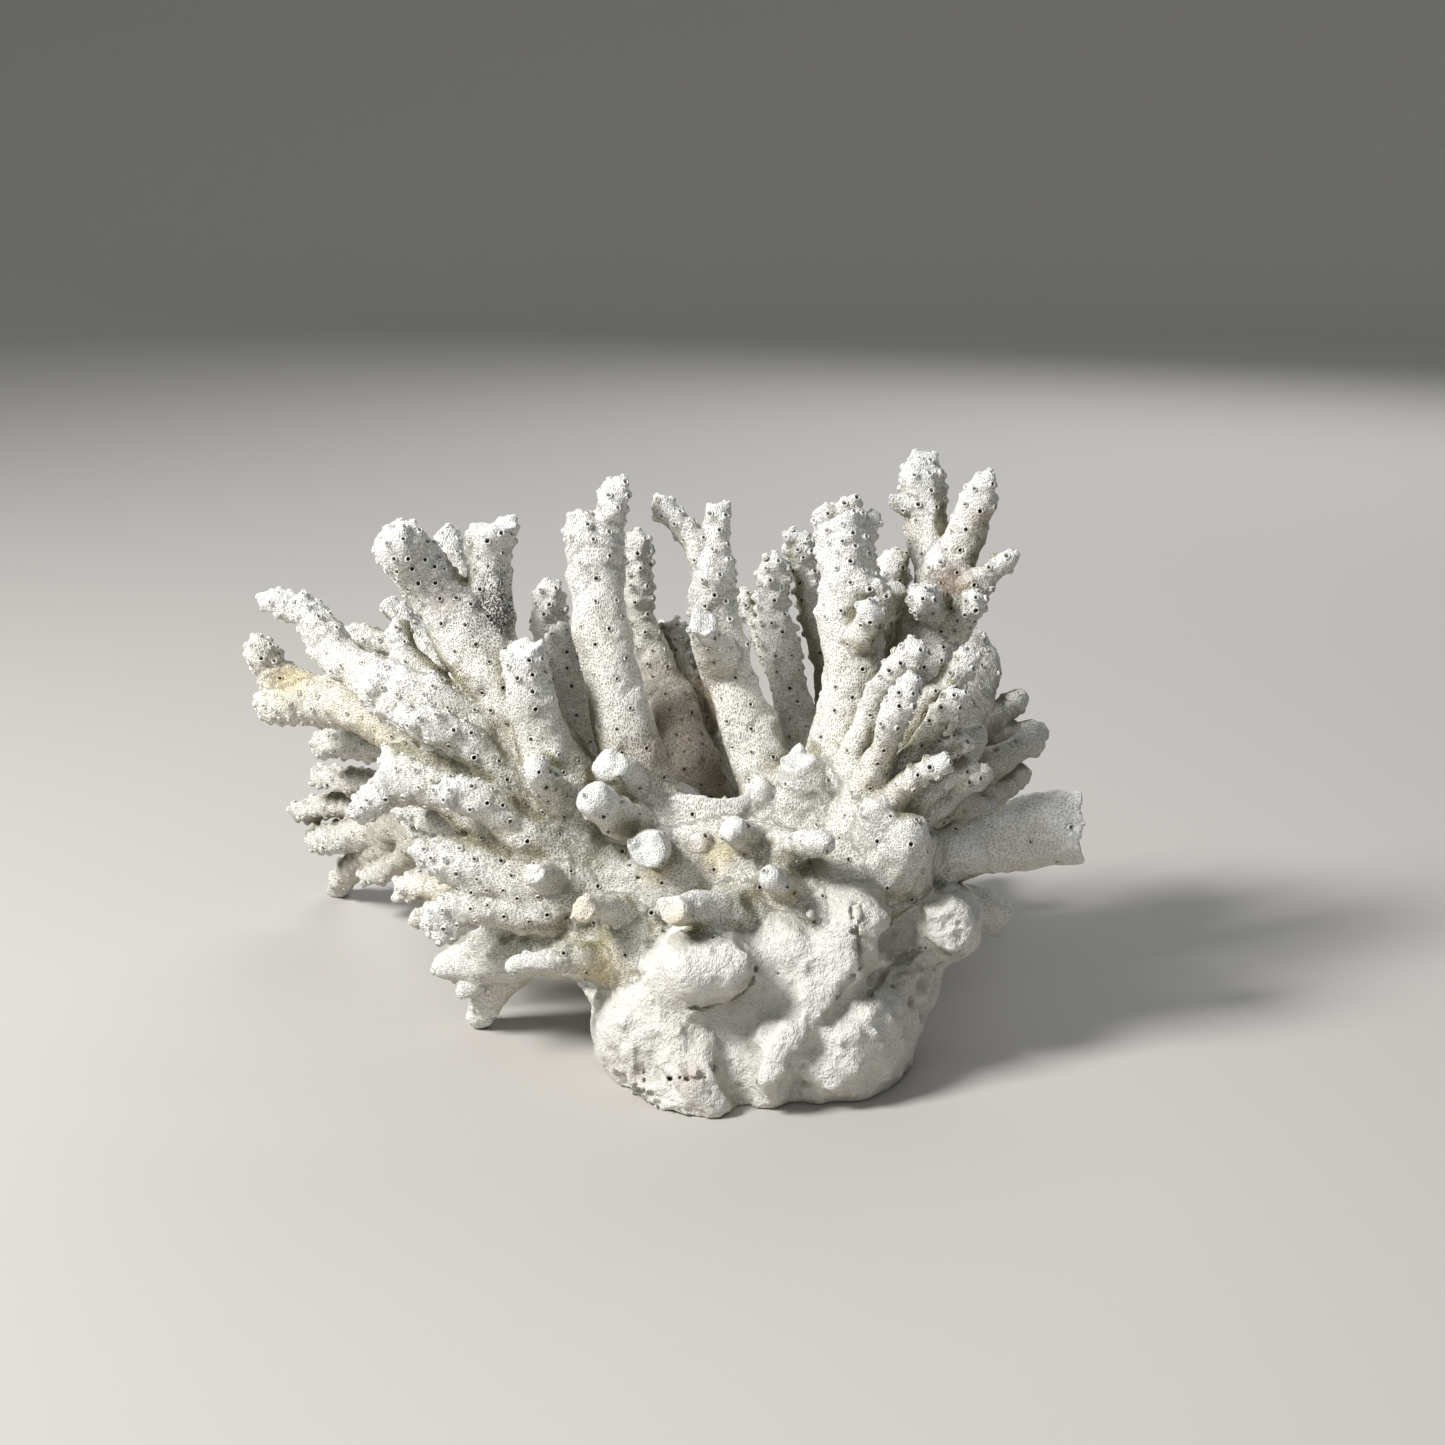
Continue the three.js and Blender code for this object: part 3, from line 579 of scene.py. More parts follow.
ROUGH_PATCHES = (
    RoughPatch((40, -42, 26), 11, 1.1),
    RoughPatch((36, -44, 12), 8, 1.0),
    RoughPatch((28, -50, 24), 7, 1.0),
    RoughPatch((-6, -60, 2), 9, 1.5),
    RoughPatch((-14, -54, 3), 8, 1.3),
    RoughPatch((13, -57, 7), 7, 0.8),
    RoughPatch((2, -61, 14), 5, 0.7),
)

MARKS = (
    Mark((499, 610), 6.4, StainAndShade.SOOT, 0.9),
    Mark((504, 624), 0.8, StainAndShade.SOOT, 1.1),
    Mark((508, 632), 0.7, StainAndShade.SOOT, 1.1),
    Mark((512, 639), 0.7, StainAndShade.SOOT, 1.1),
    Mark((497, 582), 5.0, StainAndShade.SOOT, 0.6),
    Mark((480, 625), 5.5, StainAndShade.SOOT, 0.42),
    Mark((445, 600), 4.0, StainAndShade.CLAY, 0.35),
    Mark((950, 585), 4.5, StainAndShade.CLAY, 0.9),
    Mark((958, 600), 3.0, StainAndShade.SOOT, 0.5),
    Mark((985, 520), 3.5, StainAndShade.CLAY, 0.5),
    # Painted shade with dark brown staining, in the hollow behind the tall left branch
    Mark((672, 716), 10.0, StainAndShade.EARTH, 0.8),
    Mark((690, 745), 12.0, StainAndShade.EARTH, 0.8),
    Mark((705, 775), 11.0, StainAndShade.EARTH, 0.8),
    Mark((665, 750), 9.0, StainAndShade.EARTH, 0.8),
    Mark((695, 700), 9.0, StainAndShade.CLAY, 0.6),
    Mark((596, 857), 4.0, StainAndShade.MOSS, 0.8),
    # Tan marks; those under the stubs and knobs of the crown are painted shade and painted shadow
    Mark((290, 680), 5.5, StainAndShade.STRAW, 0.8),
    Mark((580, 915), 4.5, StainAndShade.STRAW, 0.7),
    Mark((600, 970), 5.0, StainAndShade.STRAW, 0.9),
    Mark((655, 872), 3.2, StainAndShade.STRAW, 0.7),
    Mark((715, 855), 3.6, StainAndShade.STRAW, 0.7),
    Mark((675, 922), 3.6, StainAndShade.STRAW, 0.8),
    Mark((790, 893), 3.0, StainAndShade.STRAW, 0.6),
    # Brown in the crease under the boss, painted shade with brown dirt, then brown in small holes of the
    # holdfast
    Mark((735, 997), 3.4, StainAndShade.EARTH, 0.4),
    Mark((745, 985), 2.2, StainAndShade.EARTH, 0.4),
    Mark((865, 998), 2.2, StainAndShade.EARTH, 0.4),
    Mark((905, 982), 2.4, StainAndShade.EARTH, 0.4),
    Mark((640, 1068), 4.0, StainAndShade.EARTH, 0.4),
    Mark((615, 1058), 3.0, StainAndShade.EARTH, 0.4),
    # Brown in a crack of the toe and in the groove round a small knob
    Mark((690, 1080), 3.0, StainAndShade.CLAY, 0.7),
    Mark((858, 912), 2.0, StainAndShade.CLAY, 0.25),
)


@dataclass
class Path:
    """A branch laid out as short straight stretches.

    Attributes:
        points: Points along the branch, from its root.
        radii: Radius at each point.
        arcs: Length of the branch up to each point.
    """

    points: np.ndarray
    radii: np.ndarray
    arcs: np.ndarray

    @classmethod
    def of(cls, branch: Branch, stretch: float = 2.5) -> "Path":
        """Lays a branch out along a centripetal curve through its stations.

        Args:
            branch: The branch.
            stretch: Longest straight stretch.

        Returns:
            The branch's path.
        """
        stations = np.array(branch.stations, dtype=float)
        corners = stations[:, :3]
        ends = np.vstack((2 * corners[0] - corners[1], corners, 2 * corners[-1] - corners[-2]))
        points, radii = [corners[0]], [stations[0, 3]]
        for i in range(len(corners) - 1):
            p0, p1, p2, p3 = ends[i : i + 4]
            d0, d1, d2 = (np.linalg.norm(b - a) ** 0.5 for a, b in ((p0, p1), (p1, p2), (p2, p3)))
            leave = ((p1 - p0) / d0 - (p2 - p0) / (d0 + d1) + (p2 - p1) / d1) * d1
            reach = ((p2 - p1) / d1 - (p3 - p1) / (d1 + d2) + (p3 - p2) / d2) * d1
            pieces = max(1, math.ceil(np.linalg.norm(p2 - p1) / stretch))
            for t in np.arange(1, pieces + 1) / pieces:
                points.append(
                    (2 * t**3 - 3 * t**2 + 1) * p1
                    + (t**3 - 2 * t**2 + t) * leave
                    + (3 * t**2 - 2 * t**3) * p2
                    + (t**3 - t**2) * reach
                )
                radii.append(stations[i, 3] + (stations[i + 1, 3] - stations[i, 3]) * t)
        steps = np.linalg.norm(np.diff(points, axis=0), axis=1)
        return cls(np.array(points), np.array(radii), np.concatenate(([0.0], np.cumsum(steps))))


@dataclass
class Stretch:
    """One straight stretch of a branch, as the finished surface looks it up.

    Attributes:
        start: Where it starts.
        along: Its direction, of unit length.
        length: Its length.
        arc: Length of the branch before it.
        whole: Length of the whole branch.
        tip: The branch's last point.
        broken: Whether the branch is broken off.
    """

    start: np.ndarray
    along: np.ndarray
    length: float
    arc: float
    whole: float
    tip: np.ndarray
    broken: bool


@dataclass(frozen=True)
class Growth:
    """How the stone's forms flow into one another, break and roughen.

    Lengths are millimetres. The grains, swells, crumbs and crags multiply random values with
    a spread of about 1.
    """

    # Reach of the grid, of a branch and of a lump of the holdfast
    far: float = 9.0
    reach: float = 5.0
    lump_reach: float = 6.0

    # Sizes of the fine, coarse and broad unevenness, and its spread
    cells: Triple = (1.3, 3.2, 9.0)
    spread: float = 1.5

    # Fillets: along a branch, at its root as a share of its radius, and how far that runs
    seam: float = 0.4
    root_share: float = 0.36
    root_fillets: Pair = (1.0, 4.0)
    root_run: float = 2.6

    # Heights: coarse and fine on a broken end, then broad, coarse and fine everywhere
    end_grains: Pair = (0.2, 0.13)
    swells: Triple = (0.3, 0.24, 0.1)

    # Level, coarse and fine on the holdfast, then coarse, fine and level of a rough patch
    crumbs: Triple = (0.2, 0.16, 0.12)
    crumb_run: float = 3.0
    crags: Triple = (0.8, 0.5, 0.6)
    patch_reach: Pair = (1.5, 1.4)

    # Cracks: length of their straight bits, how far these stray, and shares of depth and width
    crack_step: float = 0.9
    crack_jitter: float = 0.16
    crack_depths: Pair = (0.6, 1.25)
    crack_widths: Pair = (0.7, 1.15)
    crack_flow: float = 0.25

    # How far round a relief is read, and how soft a notch is
    relief_slope: float = 2.0
    notch_flow: float = 0.6

    # Nearest and farthest distance, and step, along a sight line
    sight: Triple = (330.0, 560.0, 0.2)

    # How far a piece reaches into its neighbours, and how steeply it dives
    overlap: float = 1.0
    dive: float = 0.12


class Stone:
    """The whole coral as a grid of distances to its surface, negative inside.

    Attributes:
        growth: How its forms flow, break and roughen.
        voxel: Spacing of the grid.
        low: Lowest corner of the grid.
        surface: Distance to the surface, with all branches flowing into one another.
        nearest: Distance to the nearest limb, and second the distance to the next one.
        owner: Number of the nearest limb, 0 for the holdfast.
        stretch: Number of the nearest stretch of a branch, 0 for the holdfast.
        own: Each limb's window of the grid and its own distances there.
    """

    def __init__(self, low: np.ndarray, high: np.ndarray, voxel: float) -> None:
        """Makes an empty grid.

        Args:
            low: Its lowest corner.
            high: Its highest corner.
            voxel: Its spacing.
        """
        self.growth = Growth()
        self.voxel = voxel
        self.low = np.asarray(low, dtype=float)
        self.shape = tuple(int(n) for n in np.ceil((np.asarray(high) - low) / voxel) + 1)
        self.surface, self.nearest, self.second = (
            np.full(self.shape, self.growth.far, np.float32) for _ in range(3)
        )
        self.owner = np.zeros(self.shape, np.uint8)
        self.stretch = np.zeros(self.shape, np.uint16)
        self.own: dict[int, tuple[tuple[slice, ...], np.ndarray]] = {}
        self.stretches = [
            Stretch(np.zeros(3), np.array((0.0, 0.0, 1.0)), 1.0, 0.0, 1.0, np.zeros(3), False)
        ]
        self.random = np.random.default_rng(SEED)
        self.fine, self.coarse, self.broad = (self.noise(cell) for cell in self.growth.cells)

    def noise(self, cell: float) -> np.ndarray:
        """Smooth random values over the grid.

        Args:
            cell: Size of the unevenness.

        Returns:
            A grid of values with a spread of about 1.
        """
        counts = [int(n * self.voxel / cell) + 3 for n in self.shape]
        values = self.random.standard_normal(counts).astype(np.float32)
        for axis, count in enumerate(self.shape):
            at = np.arange(count) * self.voxel / cell
            first = at.astype(int)
            share = (at - first).astype(np.float32)
            share = share * share * (3 - 2 * share)
            share = share.reshape([-1 if k == axis else 1 for k in range(3)])
            values = np.take(values, first, axis) * (1 - share) + np.take(values, first + 1, axis) * share
        return values * self.growth.spread

    def window(self, low: np.ndarray, high: np.ndarray) -> tuple[slice, ...]:
        """The part of the grid between two corners.

        Args:
            low: The lowest corner.
            high: The highest corner.

        Returns:
            A slice along each axis.
        """
        first = np.clip(np.floor((low - self.low) / self.voxel).astype(int), 0, None)
        last = np.minimum(np.ceil((high - self.low) / self.voxel).astype(int) + 1, self.shape)
        return tuple(slice(int(a), int(max(a, b))) for a, b in zip(first, last))

    def around(self, start: np.ndarray, end: np.ndarray, reach: float) -> tuple[slice, ...]:
        """The part of the grid round a straight line."""
        return self.window(np.minimum(start, end) - reach, np.maximum(start, end) + reach)

    def blank(self, window: tuple[slice, ...]) -> np.ndarray:
        """Distances for a window in which there is nothing yet."""
        return np.full([part.stop - part.start for part in window], self.growth.far, np.float32)

    def places(self, window: tuple[slice, ...]) -> list[np.ndarray]:
        """The coordinates of a window's voxels.

        Args:
            window: The part of the grid.

        Returns:
            Three open grids, one along each axis.
        """
        return [
            (self.low[k] + np.arange(part.start, part.stop) * self.voxel)
            .astype(np.float32)
            .reshape([-1 if k == axis else 1 for axis in range(3)])
            for k, part in enumerate(window)
        ]

    def from_line(
        self, window: tuple[slice, ...], start: np.ndarray, end: np.ndarray, flat: float = 1.0
    ) -> tuple[np.ndarray, np.ndarray]:
        """Distance of a window's voxels from a straight stretch.

        Args:
            window: The part of the grid.
            start: One end of the stretch.
            end: Its other end.
            flat: How thin the form round it is from front to back, as a share.

        Returns:
            The distance, and the share of the stretch at its nearest point.
        """
        places = self.places(window)
        along = end - start
        share = sum((places[k] - start[k]) * along[k] for k in range(3)) / max(along @ along, 1e-9)
        share = np.clip(share, 0, 1)
        off = [places[k] - (start[k] + share * along[k]) for k in range(3)]
        if flat < 1:
            off[1] = off[1] + off[1] * (1 / flat - 1)
        return np.sqrt(sum(part * part for part in off)), share

    @staticmethod
    def flow(first: np.ndarray, second: np.ndarray, width: np.ndarray | float) -> np.ndarray:
        """Joins two distances with a fillet.

        Args:
            first: Distance to one form.
            second: Distance to the other.
            width: Width of the fillet.

        Returns:
            Distance to the joined form.
        """
        share = np.clip(0.5 + 0.5 * (first - second) / width, 0, 1)
        return first * (1 - share) + second * share - width * share * (1 - share)

    @staticmethod
    def within(part: tuple[slice, ...], whole: tuple[slice, ...]) -> tuple[slice, ...]:
        """A window as slices of a larger one."""
        return tuple(slice(p.start - w.start, p.stop - w.start) for p, w in zip(part, whole))

    def claim(self, limb: int, window: tuple[slice, ...], own: np.ndarray) -> None:
        """Notes whose stone is nearest in a window.

        Args:
            limb: Number of the limb.
            window: The limb's window.
            own: Its own distances there.
        """
        nearest, second, owner = self.nearest[window], self.second[window], self.owner[window]
        closer = own < nearest
        second[...] = np.where(closer, nearest, np.minimum(second, own))
        nearest[...] = np.minimum(nearest, own)
        owner[closer] = limb
        self.own[limb] = (window, own)

    def grow_limb(self, number: int, limb: Limb) -> None:
        """Adds a limb's branches to the stone.

        Args:
            number: Number of the limb.
            limb: The limb.
        """
        paths = [Path.of(branch) for branch in limb.branches]
        points = np.vstack([path.points for path in paths])
        reach = max(path.radii.max() for path in paths) + self.growth.reach
        whole = self.window(points.min(axis=0) - reach, points.max(axis=0) + reach)
        own = self.blank(whole)
        ids = np.zeros(own.shape, np.uint16)
        for branch, path in zip(limb.branches, paths):
            self.grow_branch(branch, path, whole, own, ids, limb.web)
        closer = own < self.nearest[whole]
        self.stretch[whole][closer] = ids[closer]
        self.claim(number, whole, own)

    def grow_branch(
        self,
        branch: Branch,
        path: Path,
        whole: tuple[slice, ...],
        own: np.ndarray,
        ids: np.ndarray,
        web: float,
    ) -> None:
        """Adds one branch to the stone and to its limb's own distances.

        Args:
            branch: The branch.
            path: Its path.
            whole: The limb's window.
            own: The limb's own distances in that window.
            ids: Numbers of the limb's nearest stretches there.
            web: How wide its fillets are.
        """
        growth = self.growth
        reach = path.radii.max() + growth.reach
        window = self.window(path.points.min(axis=0) - reach, path.points.max(axis=0) + reach)
        distance = self.blank(window)
        arc = np.zeros(distance.shape, np.float32)
        number = np.zeros(distance.shape, np.uint16)
        last = path.points[-1]
        heading = (last - path.points[-2]) / np.linalg.norm(last - path.points[-2])
        broken = branch.end is End.BROKEN
        for i in range(len(path.points) - 1):
            start, end = path.points[i], path.points[i + 1]
            reach = max(path.radii[i], path.radii[i + 1]) + growth.reach
            part = self.around(start, end, reach)
            away, share = self.from_line(part, start, end, branch.flat)
            away -= path.radii[i] + (path.radii[i + 1] - path.radii[i]) * share
            inner = self.within(part, window)
            closer = away < distance[inner]
            distance[inner][closer] = away[closer]
            arc[inner][closer] = (path.arcs[i] + (path.arcs[i + 1] - path.arcs[i]) * share)[closer]
            number[inner][closer] = len(self.stretches)
            length = float(np.linalg.norm(end - start))
            along = (end - start) / length
            self.stretches.append(Stretch(start, along, length, path.arcs[i], path.arcs[-1], last, broken))
        if broken:
            places = self.places(window)
            coarse, fine = growth.end_grains
            beyond = sum((places[k] - last[k]) * heading[k] for k in range(3))
            beyond = beyond + coarse * self.coarse[window] + fine * self.fine[window]
            distance = np.maximum(distance, beyond)
        root = path.radii[0]
        narrowest, widest = growth.root_fillets
        wide = web * min(max(growth.root_share * root, narrowest), widest)
        width = growth.seam + (wide - growth.seam) * np.clip(1 - arc / (growth.root_run * root), 0, 1)
        self.surface[window] = self.flow(self.surface[window], distance, width)
        inner = self.within(window, whole)
        closer = distance < own[inner]
        own[inner][closer] = distance[closer]
        ids[inner][closer] = number[closer]

    def grow_holdfast(self, number: int, lumps: tuple[tuple[float, ...], ...], flow: float) -> None:
        """Adds the heap of lumps that the coral grew from.

        Args:
            number: Number of the holdfast among the pieces.
            lumps: Centre and half sizes of each lump.
            flow: Width of the fillets between them, in lump sizes.
        """
        reach = self.growth.lump_reach
        sizes = np.array(lumps, dtype=float)
        low = (sizes[:, :3] - sizes[:, 3:]).min(axis=0)
        high = (sizes[:, :3] + sizes[:, 3:]).max(axis=0)
        whole = self.window(low - reach, high + reach)
        own = self.blank(whole)
        for lump in sizes:
            centre, half = lump[:3], lump[3:]
            window = self.window(centre - half - reach, centre + half + reach)
            places = self.places(window)
            scaled = [(places[k] - centre[k]) / half[k] for k in range(3)]
            size = np.sqrt(sum(part * part for part in scaled)) + 1e-6
            slope = np.sqrt(sum((scaled[k] / half[k]) ** 2 for k in range(3))) + 1e-6
            distance = (size * (size - 1) / slope).astype(np.float32)
            self.surface[window] = self.flow(self.surface[window], distance, flow * half.min())
            inner = self.within(window, whole)
            own[inner] = np.minimum(own[inner], distance)
        self.claim(number, whole, own)

    def roughen(self, patches: tuple[RoughPatch, ...]) -> None:
        """Makes the surface uneven, most where it is broken rough.

        Args:
            patches: The places that are broken rough.
        """
        growth = self.growth
        broad, coarse, fine = growth.swells
        self.surface += broad * self.broad + coarse * self.coarse + fine * self.fine
        level, coarse, fine = growth.crumbs
        window, own = self.own[0]
        share = np.clip(1 - (own - self.nearest[window]) / growth.crumb_run, 0, 1)
        lumps = level - coarse * np.abs(self.coarse[window]) - fine * np.abs(self.fine[window])
        self.surface[window] += share * lumps
        coarse, fine, level = growth.crags
        reach, falls = growth.patch_reach
        for patch in patches:
            centre = np.array(patch.centre, dtype=float)
            window = self.window(centre - patch.radius * reach, centre + patch.radius * reach)
            away, _ = self.from_line(window, centre, centre + 1e-3)
            share = np.clip(falls - away / patch.radius, 0, 1)
            crags = np.abs(self.coarse[window]) * coarse + np.abs(self.fine[window]) * fine - level
            self.surface[window] += share * patch.height * crags

    def sight(self, camera: Camera, pixel: Pair) -> np.ndarray | None:
        """The place on the surface that a pixel of the photograph shows.

        Args:
            camera: The photograph's view.
            pixel: The pixel.

        Returns:
            The place, or None where the sight line misses the stone.
        """
        steps = np.arange(*self.growth.sight)[:, None]
        points = camera.place + steps * camera.ray(pixel)
        inside = self.sample(self.surface, points) < 0
        return points[int(np.argmax(inside))] if inside.any() else None

    def sample(self, grid: np.ndarray, points: np.ndarray) -> np.ndarray:
        """Values of a grid at points, interpolated between voxels.

        Args:
            grid: The grid.
            points: The points.

        Returns:
            One value for each point.
        """
        highest = np.array(self.shape) - 1.001
        at = (points - self.low) / self.voxel
        outside = ((at < 0) | (at > highest)).any(axis=1)
        at = np.clip(at, 0, highest)
        first = at.astype(int)
        share = at - first
        total = np.zeros(len(points))
        for corner in np.ndindex(2, 2, 2):
            weight = np.prod(np.where(corner, share, 1 - share), axis=1)
            total += weight * grid[tuple((first + corner).T)]
        return np.where(outside, self.growth.far, total)

    def closest(self, grid: np.ndarray, points: np.ndarray) -> np.ndarray:
        """Values of a grid at the voxels closest to points."""
        at = np.clip(np.rint((points - self.low) / self.voxel).astype(int), 0, np.array(self.shape) - 1)
        return grid[tuple(at.T)]

    def slope(self, points: np.ndarray, reach: float = 0.7) -> np.ndarray:
        """Outward directions of the surface at points.

        Args:
            points: The points.
            reach: How far round each point the surface is read.

        Returns:
            Rows of unit length.
        """
        steps = np.eye(3) * reach
        ahead = [self.sample(self.surface, points + step) for step in steps]
        behind = [self.sample(self.surface, points - step) for step in steps]
        rise = np.stack(ahead, axis=1) - np.stack(behind, axis=1)
        return rise / np.maximum(np.linalg.norm(rise, axis=1, keepdims=True), 1e-9)

    def carve(self, start: np.ndarray, end: np.ndarray, radius: float, flow: float = 0.01) -> None:
        """Takes a round-ended groove or hole out of the stone.

        Args:
            start: One end of its middle line.
            end: The other end.
            radius: Its radius.
            flow: Softness of its edges.
        """
        reach = radius + flow + 1.5
        window = self.around(start, end, reach)
        away, _ = self.from_line(window, start, end)
        self.surface[window] = -self.flow(-self.surface[window], away - radius, flow)

    def raise_mound(self, start: np.ndarray, end: np.ndarray, radius: float, flow: float) -> None:
        """Adds a round-ended mound to the stone.

        Args:
            start: One end of its middle line.
            end: The other end.
            radius: Its radius.
            flow: Width of the fillet at its foot.
        """
        reach = radius + flow + 1
        window = self.around(start, end, reach)
        away, _ = self.from_line(window, start, end)
        self.surface[window] = self.flow(self.surface[window], away - radius, flow)

    def crack(self, camera: Camera, crack: Crack) -> None:
        """Cuts a crack where the photograph shows it.

        Args:
            camera: The photograph's view.
            crack: The crack.
        """
        growth = self.growth
        places = [self.sight(camera, pixel) for pixel in crack.pixels]
        places = [place for place in places if place is not None]
        for first, second in zip(places, places[1:]):
            steps = max(1, round(np.linalg.norm(second - first) / growth.crack_step))
            shares = np.linspace(0, 1, steps + 1)[:, None]
            stray = self.random.normal(0, growth.crack_jitter, (steps + 1, 3))
            spots = first + (second - first) * shares + stray
            varied = self.random.uniform(*growth.crack_depths, (steps + 1, 1))
            depth = (crack.depth - crack.width / 2) * varied
            spots = spots - self.slope(spots) * depth
            for start, end in zip(spots, spots[1:]):
                radius = crack.width / 2 * self.random.uniform(*growth.crack_widths)
                self.carve(start, end, radius, growth.crack_flow)

    def model(self, camera: Camera, relief: Relief) -> None:
        """Raises or sinks a relief where the photograph shows it.

        Args:
            camera: The photograph's view.
            relief: The relief.
        """
        places = [self.sight(camera, pixel) for pixel in relief.pixels]
        places = np.array([place for place in places if place is not None])
        outward = self.slope(places, self.growth.relief_slope)
        side = 1.0 if relief.height > 0 else -1.0
        spots = places + outward * (relief.height - side * relief.radius)
        shape = self.raise_mound if relief.height > 0 else self.carve
        for first, second in zip(spots, spots[1:]):
            shape(first, second, relief.radius, relief.flow)

    def cut_at_table(self) -> None:
        """Cuts the stone off flat where it rests."""
        height = self.low[2] + np.arange(self.shape[2]) * self.voxel
        self.surface = np.maximum(self.surface, -height.astype(np.float32))

    def skin(self, grid: np.ndarray, low: np.ndarray) -> tuple[np.ndarray, np.ndarray]:
        """The surface of a grid as points and four-sided faces that point outwards.

        Args:
            grid: Distances, negative inside.
            low: Place of the grid's first voxel.

        Returns:
            Points in millimetres, and faces as indices.
        """
        volume = openvdb.FloatGrid(self.growth.far)
        volume.copyFromArray(np.ascontiguousarray(grid), tolerance=0.0)
        points, faces = volume.convertToQuads(isovalue=0)
        points = points.astype(float) * self.voxel + low
        a, b, c, d = (points[faces[:, k]] for k in range(4))
        if np.einsum("ij,ij->i", a, np.cross(c - a, d - b)).sum() < 0:
            faces = faces[:, ::-1]
        return points, faces

    def piece(self, limb: int) -> tuple[np.ndarray, np.ndarray]:
        """The stone of one limb, whose skin dives a little way under its neighbours'.

        Args:
            limb: Number of the limb.

        Returns:
            Points in millimetres, and faces as indices.
        """
        window, own = self.own[limb]
        others = np.where(self.owner[window] == limb, self.second[window], self.nearest[window])
        beyond = (own - others) / 2
        dive = self.surface[window] + self.growth.dive * np.clip(beyond, 0, None)
        grid = np.maximum(dive, beyond - self.growth.overlap)
        for axis in range(3):
            rim = np.moveaxis(grid, axis, 0)
            rim[0] = np.maximum(rim[0], 1.0)
            rim[-1] = np.maximum(rim[-1], 1.0)
        low = self.low + np.array([part.start for part in window]) * self.voxel
        return self.skin(grid, low)


@dataclass(frozen=True)
class Corallites:
    """The cups in which the polyps sat: their sizes and how they are spread.

    Lengths are millimetres. Spacings are from one cup to the next, and spreads are the least
    and the greatest share.
    """

    # Radii of a cup's hole, edge and foot, its depth and its corners
    mouth: float = 0.44
    rim: float = 0.7
    skirt: float = 0.92
    depth: float = 1.0
    sides: int = 7

    # Places that are tried, and the spacing near the tips and far below them
    candidates: int = 90000
    spacing_tips: float = 2.15
    spacing_low: float = 3.7
    spacing_spread: Pair = (0.85, 1.25)

    # The mound under a cup, how far all cups stand out, and how much more at a tip
    mound: float = 1.02
    mound_flow: float = 0.8
    least_mound: float = 0.15
    flush: float = 0.08
    stands: float = 0.62
    height_spread: Pair = (0.6, 1.25)

    # Size far below the tips, what a tip adds, and the lean towards it
    size_spread: Pair = (0.82, 1.12)
    low_size: float = 0.85
    tip_size: float = 0.15
    lean: float = 0.5

    # How much narrower than its rim the hole in the stone is, and where no cup sits
    opening: float = 0.1
    table_clearance: float = 3.5
    no_cup: float = 0.1

    def scatter(self, stone: Stone, limbs: tuple[Limb, ...]) -> dict[str, np.ndarray]:
        """Chooses places for the cups over the whole stone.

        Args:
            stone: The stone.
            limbs: The limbs, in the order of their numbers from 1.

        Returns:
            Arrays named place, axis, height, size and limb, one row for each cup.
        """
        points, faces = stone.skin(stone.surface, stone.low)
        spots = points[faces].mean(axis=1)
        random = np.random.default_rng(SEED + 1)
        spots = spots[random.permutation(len(spots))[: self.candidates]]
        spots = spots[spots[:, 2] > self.table_clearance]
        look = Look.at(stone, spots)
        thick = np.array([0.0] + [limb.cups for limb in limbs])[look.limb]
        knobs = np.array([0.0] + [limb.knobs for limb in limbs])[look.limb]
        spacing = self.spacing_low + (self.spacing_tips - self.spacing_low) * look.tip
        spacing = spacing / np.maximum(thick, 1e-3) * random.uniform(*self.spacing_spread, len(spots))
        free = (thick > 0) & (look.broken < self.no_cup)
        chosen = self.thin_out(spots, spacing, free)
        tip = look.tip[chosen]
        axis = look.outward[chosen] + look.growth[chosen] * (self.lean * tip)[:, None]
        axis /= np.linalg.norm(axis, axis=1, keepdims=True)
        varied = random.uniform(*self.height_spread, len(chosen))
        height = (self.flush + self.stands * tip * varied) * knobs[chosen]
        size = random.uniform(*self.size_spread, len(chosen)) * (self.low_size + self.tip_size * tip)
        return {
            "place": spots[chosen],
            "axis": axis,
            "height": height,
            "size": size,
            "limb": look.limb[chosen],
        }

    @staticmethod
    def thin_out(spots: np.ndarray, spacing: np.ndarray, free: np.ndarray) -> np.ndarray:
        """Keeps places that are far enough from one another.

        Args:
            spots: The places, the first ones served first.
            spacing: Room that each one takes.
            free: Which ones may be kept.

        Returns:
            Numbers of the kept places.
        """
        tree = kdtree.KDTree(len(spots))
        for i, spot in enumerate(spots):
            tree.insert(spot, i)
        tree.balance()
        chosen = []
        for i in range(len(spots)):
            if free[i]:
                chosen.append(i)
                for _, j, _ in tree.find_range(spots[i], spacing[i]):
                    free[j] = False
        return np.array(chosen)

    def carve(self, stone: Stone, cups: dict[str, np.ndarray]) -> None:
        """Raises a mound under every cup and opens its hole.

        Args:
            stone: The stone.
            cups: The cups, as scatter gives them.
        """
        rows = list(zip(cups["place"], cups["axis"], cups["height"], cups["size"]))
        for place, axis, height, size in rows:
            radius = self.mound * size
            if height > self.least_mound:
                top = place + axis * (height - radius)
                stone.raise_mound(place - axis * radius, top, radius, self.mound_flow)
        for place, axis, height, size in rows:
            mouth, bottom = place + axis * (height + 1.0), place + axis * (height - self.depth)
            stone.carve(mouth, bottom, (self.rim - self.opening) * size)


